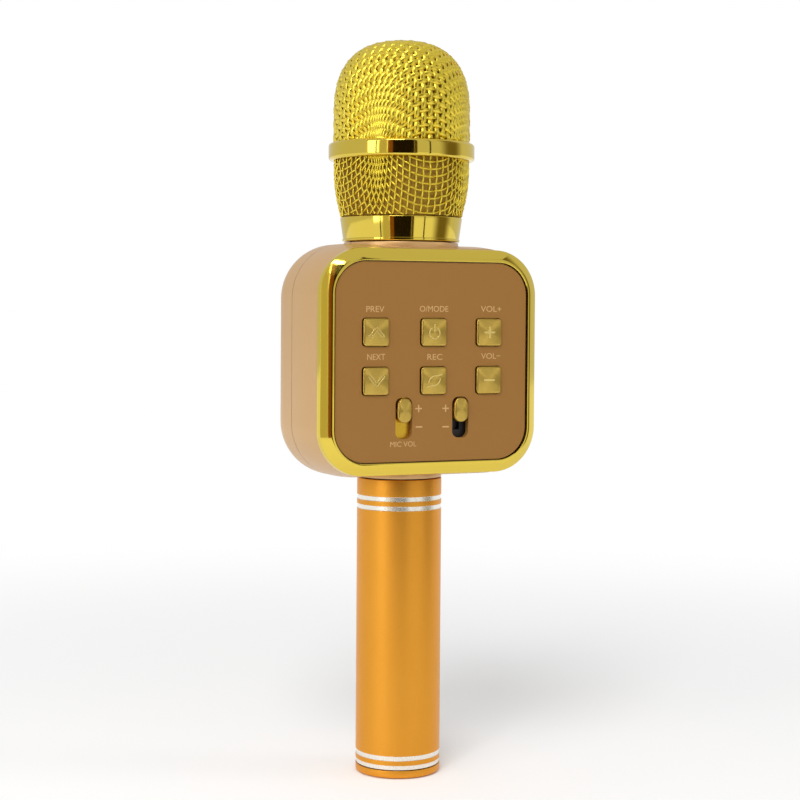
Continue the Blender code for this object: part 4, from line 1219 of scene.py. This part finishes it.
@dataclass
class WovenNet:
    """A plain weave of round or rolled wire pressed over a turned surface.

    A woven cloth keeps the length of its wires between crossings when it is pressed to shape, and only the
    angle between the two families changes. So each crossing is found at one pitch from its two neighbours,
    starting from two straight wires that cross at the pole.
    """

    surface: NetSurface
    name: str
    pitch: float = 2.4 * MM
    wire: float = 0.66 * MM           # thickness
    flat: float = 1.0                 # width over thickness, for a weave that is rolled flat
    crimp: float = 0.36               # how far a wire swings each way, as a share of its thickness
    first: float = 0.0                # distance from the pole at which the wires start to show
    last: float = 60.0 * MM           # and at which they end
    turn: float = 0.0                 # azimuth of the first straight wire
    sides: int = 6
    steps: int = 5                    # points per pitch along a wire
    flip: float = 1.0                 # -1 when the profile runs downwards outside in

    def quadrant(self, count: int) -> tuple[np.ndarray, np.ndarray]:
        """Solves the crossings between two neighbouring straight wires.

        Args:
            count: Crossings along each straight wire.

        Returns:
            Distance from the pole, and azimuth from the first straight wire, for each crossing (i, j).
        """
        s = np.full((count, count), np.nan)
        a = np.full((count, count), np.nan)
        s[:, 0] = s[0, :] = np.arange(count) * self.pitch
        a[:, 0], a[0, :] = 0.0, math.pi / 2
        a[0, 0] = math.pi / 4
        end = self.surface.along[-1]
        for total in range(2, 2 * count - 1):
            i = np.arange(max(1, total - count + 1), min(total, count))
            j = total - i
            i, j = i[j >= 1], j[j >= 1]
            known = np.isfinite(s[i - 1, j]) & np.isfinite(s[i, j - 1])
            i, j = i[known], j[known]
            if not len(i):
                continue
            near = self.surface.place(s[i - 1, j], a[i - 1, j])
            other = self.surface.place(s[i, j - 1], a[i, j - 1])
            ss = np.maximum(s[i - 1, j], s[i, j - 1]) + 0.55 * self.pitch
            aa = (a[i - 1, j] + a[i, j - 1]) / 2
            for _ in range(30):
                here = self.surface.place(ss, aa)
                ds = (self.surface.place(ss + 1e-6, aa) - here) / 1e-6
                da = (self.surface.place(ss, aa + 1e-5) - here) / 1e-5
                f = np.linalg.norm(here - near, axis=1) - self.pitch
                g = np.linalg.norm(here - other, axis=1) - self.pitch
                un = (here - near) / np.maximum(np.linalg.norm(here - near, axis=1), 1e-9)[:, None]
                uo = (here - other) / np.maximum(np.linalg.norm(here - other, axis=1), 1e-9)[:, None]
                fs, fa = (un * ds).sum(1), (un * da).sum(1)
                gs, ga = (uo * ds).sum(1), (uo * da).sum(1)
                det = fs * ga - fa * gs
                det = np.where(np.abs(det) < 1e-12, 1e-12, det)
                move_s = np.clip((f * ga - fa * g) / det, -self.pitch / 2, self.pitch / 2)
                move_a = np.clip((fs * g - f * gs) / det, -0.15, 0.15)
                ss, aa = ss - move_s, aa - move_a
            here = self.surface.place(ss, aa)
            miss = (np.abs(np.linalg.norm(here - near, axis=1) - self.pitch)
                    + np.abs(np.linalg.norm(here - other, axis=1) - self.pitch))
            good = (miss < 0.02 * self.pitch) & (ss > np.minimum(s[i - 1, j], s[i, j - 1])) & (ss < end)
            s[i[good], j[good]], a[i[good], j[good]] = ss[good], aa[good]
        return s, a

    def wires(self) -> list[np.ndarray]:
        """Returns the centre lines of all the wires, as runs of points."""
        count = int(self.surface.along[-1] / self.pitch) + 2
        s, a = self.quadrant(count)
        runs: list[np.ndarray] = []
        lift = self.wire * self.crimp
        span = range(-(count - 1), count)

        def crossing(i: int, j: int) -> tuple[float, float]:
            """Looks a crossing up in any of the four quadrants.

            Args:
                i: Its number along the first straight wire, from the pole.
                j: Its number along the second.

            Returns:
                Its distance and azimuth, not finite where the surface has ended.
            """
            if i >= 0 and j >= 0:
                quarter, p, q = 0, i, j
            elif i < 0 <= j:
                quarter, p, q = 1, j, -i
            elif i < 0 and j < 0:
                quarter, p, q = 2, -i, -j
            else:
                quarter, p, q = 3, -j, i
            if p >= count or q >= count:
                return math.nan, math.nan
            return s[p, q], a[p, q] + quarter * math.pi / 2

        for family in (0, 1):
            for fixed in span:
                nodes = []
                for moving in span:
                    i, j = (moving, fixed) if family == 0 else (fixed, moving)
                    distance, angle = crossing(i, j)
                    over = 1.0 if (i + j) % 2 == 0 else -1.0
                    nodes.append((distance, angle, over if family == 0 else -over))
                run: list[tuple[float, float, float]] = []
                for node in [*nodes, (math.nan, 0.0, 0.0)]:
                    if math.isfinite(node[0]):
                        run.append(node)
                        continue
                    if len(run) > 1:
                        runs += self.curve(np.array(run), lift)
                    run = []
        return runs

    def curve(self, nodes: np.ndarray, lift: float) -> list[np.ndarray]:
        """Draws one wire over and under its crossings, and keeps the part that shows.

        Args:
            nodes: Distance, azimuth and side of each crossing.
            lift: How far the wire's middle stands off the surface at a crossing.

        Returns:
            Runs of points.
        """
        turn = nodes[:, 1] + self.turn
        base = self.surface.place(nodes[:, 0], turn)
        out = self.surface.normal(nodes[:, 0], turn) * self.flip
        t = np.linspace(0, len(nodes) - 1, (len(nodes) - 1) * self.steps + 1)
        index = np.minimum(t.astype(int), len(nodes) - 2)
        part = (t - index)[:, None]
        before, after = np.maximum(index - 1, 0), np.minimum(index + 2, len(nodes) - 1)
        p0, p1, p2, p3 = base[before], base[index], base[index + 1], base[after]
        middle = 0.5 * (2 * p1 + (p2 - p0) * part + (2 * p0 - 5 * p1 + 4 * p2 - p3) * part ** 2
                        + (3 * p1 - p0 - 3 * p2 + p3) * part ** 3)
        blend = (1 - np.cos(math.pi * part)) / 2
        side = nodes[index, 2][:, None] * (1 - blend) + nodes[index + 1, 2][:, None] * blend
        normal = out[index] * (1 - part) + out[index + 1] * part
        normal /= np.linalg.norm(normal, axis=1)[:, None]
        points = middle + normal * side * lift
        distance = nodes[index, 0] * (1 - part[:, 0]) + nodes[index + 1, 0] * part[:, 0]
        shown = (distance >= self.first) & (distance <= self.last)
        runs, start = [], None
        for k, inside in enumerate([*shown, False]):
            if inside and start is None:
                start = k
            elif not inside and start is not None:
                if k - start > 2:
                    runs.append(points[start:k])
                start = None
        return runs

    def build(self) -> Object:
        """Sweeps a small polygon along every wire and gathers them in one mesh."""
        vertices: list[np.ndarray] = []
        faces: list[list[int]] = []
        first = 0
        turns = np.arange(self.sides) * 2 * math.pi / self.sides
        for run in self.wires():
            tangent = np.gradient(run, axis=0)
            tangent /= np.linalg.norm(tangent, axis=1)[:, None]
            radial = run - np.array([0.0, 0.0, self.surface.heights.mean()])
            side = np.cross(tangent, radial)
            side /= np.maximum(np.linalg.norm(side, axis=1), 1e-9)[:, None]
            up = np.cross(side, tangent)
            ring = (side[:, None, :] * (self.flat * np.cos(turns))[None, :, None]
                    + up[:, None, :] * np.sin(turns)[None, :, None])
            vertices.append((run[:, None, :] + ring * self.wire / 2).reshape(-1, 3))
            n = self.sides
            for k in range(len(run) - 1):
                low = first + k * n
                faces += [[low + m, low + (m + 1) % n, low + n + (m + 1) % n, low + n + m] for m in range(n)]
            faces.append([first + m for m in range(n)][::-1])
            faces.append([first + (len(run) - 1) * n + m for m in range(n)])
            first += len(run) * n
        mesh = bpy.data.meshes.new(self.name)
        mesh.from_pydata(np.concatenate(vertices).tolist(), [], faces)
        obj = bpy.data.objects.new(self.name, mesh)
        bpy.context.scene.collection.objects.link(obj)
        with editing(obj):
            bpy.ops.mesh.select_all(action="SELECT")
            bpy.ops.mesh.normals_make_consistent(inside=False)
        return smooth(obj, 75.0)


@dataclass
class GrilleHead:
    """The lift-off head: a plated collar and band, two woven baskets and their foam liner."""

    collar_bottom: Point = (19.4 * MM, 178.4 * MM)
    collar_top: Point = (20.5 * MM, 186.5 * MM)
    collar_bore: float = 17.3 * MM
    band_radius: float = 24.5 * MM
    band_low: float = 205.5 * MM
    band_high: float = 211.3 * MM
    band_wall: float = 3.0 * MM
    band_rounding: float = 1.1 * MM
    basket_top: Point = (22.85 * MM, 205.2 * MM)
    basket_low: Point = (20.5 * MM, 186.8 * MM)
    bulge: float = 0.75 * MM
    dome_radius: float = 22.9 * MM
    dome_shoulder: float = 221.1 * MM
    dome_top: float = 245.6 * MM
    dome_power: float = 2.55
    dome_wire: float = 0.84 * MM       # its thickness; rolling has made it twice as wide
    dome_flat: float = 2.08
    net_tail: float = 7.0 * MM         # woven past the edge, then cut
    net_tuck: float = 0.3 * MM         # how far the cut ends reach into the band
    basket_wire: float = 0.66 * MM
    net_depth: float = 0.86            # from a weave's outer surface to its middle, in thicknesses
    bowl_depth: float = 9.0 * MM       # of the part of the lower bowl that the collar hides
    dome_liner: float = 1.5 * MM
    basket_liner: float = 1.5 * MM
    liner_bore: float = 15.5 * MM
    liner_bore_top: float = 218.0 * MM
    liner_roof: Point = (11.5 * MM, 222.0 * MM)

    def build_collar(self) -> Object:
        """Builds the plated collar with softened edges."""
        (r0, z0), (r1, z1) = self.collar_bottom, self.collar_top
        soft, lip, lip_top, chamfer = 0.35 * MM, 0.3 * MM, 1.0 * MM, 0.1 * MM
        profile = [(self.collar_bore, z0), *arc((r0 + lip - soft, z0 + soft), soft, -90, 0, 4),
                   (r0 + lip, z0 + lip_top - chamfer), (r0 + lip - chamfer, z0 + lip_top),
                   (r0 + 0.12 * MM, z0 + lip_top),
                   *arc((r1 - soft, z1 - soft), soft, -8, 90, 5), (self.collar_bore, z1)]
        return smooth(lathe("grille_collar_ring", profile, closed=True), 30.0)

    def build_band(self) -> Object:
        """Builds the rounded band."""
        soft, inner = self.band_rounding, self.band_radius - self.band_wall
        outer = self.band_radius - soft
        profile = [(inner, self.band_low), *arc((outer, self.band_low + soft), soft, -90, 0, 6),
                   *arc((outer, self.band_high - soft), soft, 0, 90, 6), (inner, self.band_high)]
        return smooth(lathe("grille_band_ring", profile, closed=True), 30.0)

    def dome_line(self, inset: float, steps: int) -> list[Point]:
        """Outline of the dome from its pole down to the band.

        Args:
            inset: How far inside the outer surface it lies.
            steps: How many chords it has.

        Returns:
            (radius, height) points.
        """
        height = self.dome_top - self.dome_shoulder - inset
        points = []
        for step in range(steps + 1):
            angle = math.pi / 2 * step / steps
            points.append(((self.dome_radius - inset) * math.sin(angle) ** (2 / self.dome_power),
                           self.dome_shoulder + height * max(math.cos(angle), 0.0) ** (2 / self.dome_power)))
        return [*points, (self.dome_radius - inset, self.band_high)]

    def basket_line(self, inset: float, steps: int) -> list[Point]:
        """Outline of the lower basket from the collar up to the band.

        Args:
            inset: How far inside the outer surface it lies.
            steps: How many chords it has.

        Returns:
            (radius, height) points.
        """
        (r0, z0), (r1, z1) = self.basket_low, self.basket_top
        points = []
        for step in range(steps + 1):
            share = step / steps
            radius = r0 + (r1 - r0) * share + self.bulge * math.sin(math.pi * share)
            points.append((radius - inset, z0 + (z1 - z0) * share))
        return points

    def build_dome(self) -> Object:
        """Weaves the dome, with its middle line half a pressed weave under the outer surface."""
        line = self.dome_line(self.net_depth * self.dome_wire, 200)
        surface = NetSurface([*line, (line[-1][0], line[-1][1] - self.net_tail)])
        end = float(surface.along[-2]) + self.net_tuck
        return WovenNet(surface, "grille_dome_weave", wire=self.dome_wire, flat=self.dome_flat,
                        turn=-math.pi / 2, last=end, steps=4).build()

    def build_basket(self) -> Object:
        """Weaves the lower basket, as the upper part of a deeper pressed bowl."""
        side = self.basket_line(self.net_depth * self.basket_wire, 60)
        bowl = [(side[0][0] * math.sin(a), side[0][1] - self.bowl_depth * math.cos(a))
                for a in np.linspace(0.0, math.pi / 2, 60)][:-1]
        surface = NetSurface([*bowl, *side, (side[-1][0], side[-1][1] + self.net_tail)])
        start, end = float(surface.along[len(bowl)]), float(surface.along[-2]) + 2 * self.net_tuck
        return WovenNet(surface, "grille_basket_weave", wire=self.basket_wire, turn=-math.pi / 2,
                        first=start, last=end, flip=-1.0, steps=5).build()

    def build_liner(self) -> Object:
        """Builds the foam liner behind both baskets."""
        waist = self.dome_radius - self.dome_liner
        outer = self.dome_line(self.dome_liner, 30)[:-1]
        outer += [(waist, self.band_high), (waist, self.band_low)]
        outer += self.basket_line(self.basket_liner, 16)[::-1]
        bore = [(self.liner_bore, self.basket_low[1]), (self.liner_bore, self.liner_bore_top),
                self.liner_roof, (0.0, self.liner_roof[1])]
        return smooth(lathe("grille_foam", outer + bore, closed=False, steps=96), 50.0)

    def make(self) -> None:
        """Builds and dresses the head's pieces and puts them on its body."""
        head = Body.HEAD.value
        seat(dress(self.build_collar(), PLATED), head, Slot.CHROME, "grille_collar")
        seat(dress(self.build_band(), PLATED), head, Slot.CHROME, "grille_band")
        seat(dress(self.build_basket(), WIRE), head, Slot.WIRE, "grille_lower")
        seat(dress(self.build_dome(), WIRE), head, Slot.WIRE, "grille_dome")
        liner = seat(dress(self.build_liner(), FOAM), head, Slot.FOAM, "foam_liner")


# ---- Pieces kept as the frame has them ------------------------------------------------------------------
@dataclass(frozen=True)
class Insides:
    """Finishes for the frame's own pieces that stay in view or inside."""

    finishes: tuple[tuple[Finish, tuple[str, ...]], ...] = (
        (NICKEL, ("contact_spring", "case_screw_1", "case_screw_2", "case_screw_3", "case_screw_4",
                  "usb_socket", "card_socket", "mic_capsule")),
        (SHRINK, ("battery_cell",)),
        (MOULDED, ("battery_sleeve", "contact_plate", "handle_plug", "fader_left", "fader_right",
                   "audio_jack", "speaker_frame", "grille_socket", "capsule_stem")),
        (SILICONE, ("keypad", "shock_mount")),
        (RESIST, ("control_board", "main_board")),
        (PULP, ("speaker_cone",)),
        (FERRITE, ("speaker_magnet",)))

    def make(self, nodes: dict[str, Object]) -> None:
        """Gives each kept node its finish."""
        for finish, names in self.finishes:
            for name in names:
                dress(nodes[name], finish)
                LOG.info("%s keeps its frame shape, in %s", name, finish.name)


# ---- Stage ----------------------------------------------------------------------------------------------
@dataclass
class Stage:
    """A pale studio: a soft floor, white surroundings, big lights and the dark cards that shape gold."""

    camera_place: tuple[float, float, float] = (-0.2528, -0.5421, 0.1558)
    camera_turn: float = -25.0        # degrees, to the object's left
    camera_down: float = 1.883
    camera_roll: float = 0.394
    lens: float = 79.8
    shift_y: float = -0.0402
    ambient: float = 0.60
    gloss: float = 0.70
    card_distance: float = 0.45

    def build_camera(self) -> None:
        """Places the camera in front and to the left, at the height of the key rows."""
        data = bpy.data.cameras.new("camera")
        data.lens = self.lens
        data.sensor_width = 36.0
        data.shift_y = self.shift_y
        data.clip_start = 0.01
        camera = bpy.data.objects.new("camera", data)
        bpy.context.scene.collection.objects.link(camera)
        level = Matrix.Rotation(math.radians(self.camera_turn), 4, "Z")
        tilt = Matrix.Rotation(math.radians(90 - self.camera_down), 4, "X")
        roll = Matrix.Rotation(math.radians(self.camera_roll), 4, "Z")
        camera.matrix_world = Matrix.Translation(self.camera_place) @ level @ tilt @ roll
        bpy.context.scene.camera = camera

    def build_floor(self) -> None:
        """Lays a wide pale floor under the object."""
        bpy.ops.mesh.primitive_plane_add(size=6.0, location=(0, 0, -0.0002))
        floor = bpy.context.object
        floor.name = "floor"
        made, tree = new_material("floor_paper")
        place = add_node(tree, "ShaderNodeTexCoord").outputs["Object"]
        grain = add_node(tree, "ShaderNodeTexNoise", {"Vector": place}, {"Scale": 900.0, "Detail": 2.0})
        tone = add_node(tree, "ShaderNodeMapRange", {"Value": grain.outputs["Fac"]},
                        {"To Min": 0.93, "To Max": 0.96})
        away = add_node(tree, "ShaderNodeVectorMath", {0: place}, operation="LENGTH")
        fade = add_node(tree, "ShaderNodeMapRange", {"Value": away.outputs["Value"]},
                        {"From Min": 0.10, "From Max": 0.60}, interpolation_type="SMOOTHSTEP")
        shader = tree.nodes["Principled BSDF"]
        tree.links.new(tone.outputs["Result"], shader.inputs["Base Color"])
        shader.inputs["Roughness"].default_value = 0.9
        white = add_node(tree, "ShaderNodeEmission", values={"Strength": 1.0})
        mixed = add_node(tree, "ShaderNodeMixShader", {0: fade.outputs["Result"], 1: shader.outputs[0],
                                                       2: white.outputs[0]})
        tree.links.new(mixed.outputs[0], tree.nodes["Material Output"].inputs["Surface"])
        floor.data.materials.append(made)

    def build_world(self) -> None:
        """Lights the scene softly, and shows plain white where the camera or gloss looks past it."""
        world = bpy.data.worlds.new("studio")
        bpy.context.scene.world = world
        world.use_nodes = True
        tree = world.node_tree
        tree.nodes.clear()
        path = add_node(tree, "ShaderNodeLightPath")
        full = (1.0, 1.0, 1.0, 1.0)
        soft = add_node(tree, "ShaderNodeBackground", values={"Color": full, "Strength": self.ambient})
        gloss = add_node(tree, "ShaderNodeBackground", values={"Color": full, "Strength": self.gloss})
        white = add_node(tree, "ShaderNodeBackground", values={"Color": full, "Strength": 1.0})
        first = add_node(tree, "ShaderNodeMixShader", {0: path.outputs["Is Glossy Ray"], 1: soft.outputs[0],
                                                       2: gloss.outputs[0]})
        mixed = add_node(tree, "ShaderNodeMixShader", {0: path.outputs["Is Camera Ray"], 1: first.outputs[0],
                                                       2: white.outputs[0]})
        add_node(tree, "ShaderNodeOutputWorld", {"Surface": mixed.outputs[0]})

    def light(self, name: str, place: Sequence[float], size: Point, power: float,
              aim: Sequence[float] = (0.0, 0.0, 0.15)) -> None:
        """Adds one soft rectangular light.

        Args:
            name: The light's name.
            place: Where it stands.
            size: Its width and height.
            power: Its power in watts.
            aim: The point it looks at.
        """
        data = bpy.data.lights.new(name, "AREA")
        data.shape = "RECTANGLE"
        data.size, data.size_y = size
        data.energy = power
        lamp = bpy.data.objects.new(name, data)
        bpy.context.scene.collection.objects.link(lamp)
        lamp.location = place
        lamp.rotation_euler = (Vector(aim) - Vector(place)).to_track_quat("-Z", "Y").to_euler()

    def card(self, name: str, turn: float, width: float, tone: str, edge: float) -> None:
        """Adds one upright card that only reflections see.

        Args:
            name: The card's name.
            turn: Degrees to the right of the camera, seen from the object.
            width: Its width.
            tone: Its colour, as sRGB hex.
            edge: Share of its width over which its sides fade out.
        """
        away = self.card_distance
        angle = math.radians(-90 + self.camera_turn + turn)
        place = Vector((away * math.cos(angle), away * math.sin(angle), 0.33))
        bpy.ops.mesh.primitive_plane_add(size=1.0, location=place,
                                         rotation=(math.pi / 2, 0, angle + math.pi / 2))
        card = bpy.context.object
        card.name = name
        card.scale = (width, 0.64, 1.0)
        bake_place(card)
        made, tree = new_material(name)
        tree.nodes.clear()
        across = add_node(tree, "ShaderNodeTexCoord").outputs["UV"]
        side = add_node(tree, "ShaderNodeSeparateXYZ", {0: across})
        off = add_node(tree, "ShaderNodeMath", {0: side.outputs["X"]}, {1: 0.5}, operation="SUBTRACT")
        size = add_node(tree, "ShaderNodeMath", {0: off.outputs[0]}, operation="ABSOLUTE")
        fade = add_node(tree, "ShaderNodeMapRange", {"Value": size.outputs[0]},
                        {"From Min": 0.5 - 0.5 * edge, "From Max": 0.5001}, interpolation_type="SMOOTHSTEP")
        glow = add_node(tree, "ShaderNodeEmission", values={"Color": linear(tone), "Strength": 1.0})
        clear = add_node(tree, "ShaderNodeBsdfTransparent")
        mixed = add_node(tree, "ShaderNodeMixShader", {0: fade.outputs["Result"], 1: glow.outputs[0],
                                                       2: clear.outputs[0]})
        add_node(tree, "ShaderNodeOutputMaterial", {"Surface": mixed.outputs[0]})
        card.data.materials.append(made)
        card.visible_camera = False
        card.visible_diffuse = False
        card.visible_shadow = False
        card.visible_transmission = False

    def make(self) -> None:
        """Builds the whole stage."""
        bpy.context.scene.view_settings.view_transform = "Standard"
        self.build_camera()
        self.build_floor()
        self.build_world()
        self.light("key_light", (-0.55, -0.75, 1.05), (0.5, 0.5), 8.5)
        self.light("left_light", (-1.06, -0.56, 0.45), (0.72, 0.8), 4.8)
        self.light("fill_light", (0.96, -0.54, 0.63), (0.34, 0.34), 1.4)
        for card in (("dark_card", 1.5, 0.31, "1F160A", 0.1), ("brown_edge", -17.0, 0.07, "8A5220", 0.3),
                     ("brown_edge_right", 22.0, 0.04, "5A4010", 0.4),
                     ("dark_line_right", 44.5, 0.022, "241A08", 0.3),
                     ("dark_line_left", -39.0, 0.020, "241A08", 0.3),
                     ("olive_card", -28.0, 0.15, "CEC6AC", 0.5),
                     ("olive_card_right", 84.0, 0.44, "7A6C48", 0.8)):
            self.card(*card)


def main() -> None:
    """Builds every sub-assembly around the frame, then the stage."""
    logging.basicConfig(level=logging.INFO, format="%(levelname)s %(name)s: %(message)s")
    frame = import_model()
    Handle().make()
    SpeakerBox().make(SocketOpenings().tools())
    SpeakerGrille().make()
    Bezel().make()
    panel = Panel()
    panel.make()
    keys = (("key_prev", "button_prev", Icon.PREVIOUS), ("key_mode", "button_mode", Icon.MODE),
            ("key_volume_up", "button_volume_up", Icon.LOUDER), ("key_next", "button_next", Icon.NEXT),
            ("key_record", "button_record", Icon.RECORD),
            ("key_volume_down", "button_volume_down", Icon.QUIETER))
    for number, (body, node, icon) in enumerate(keys):
        Key(body, node, icon, panel.columns[number % 3], panel.rows[number // 3]).make()
    Knob(Body.LEFT_SLIDER, "slider_knob_left", -10.2 * MM, has_strip=True).make()
    Knob(Body.RIGHT_SLIDER, "slider_knob_right", 10.2 * MM).make()
    GrilleHead().make()
    Insides().make(frame["nodes"])
    Stage().make()


if __name__ == "__main__":
    main()
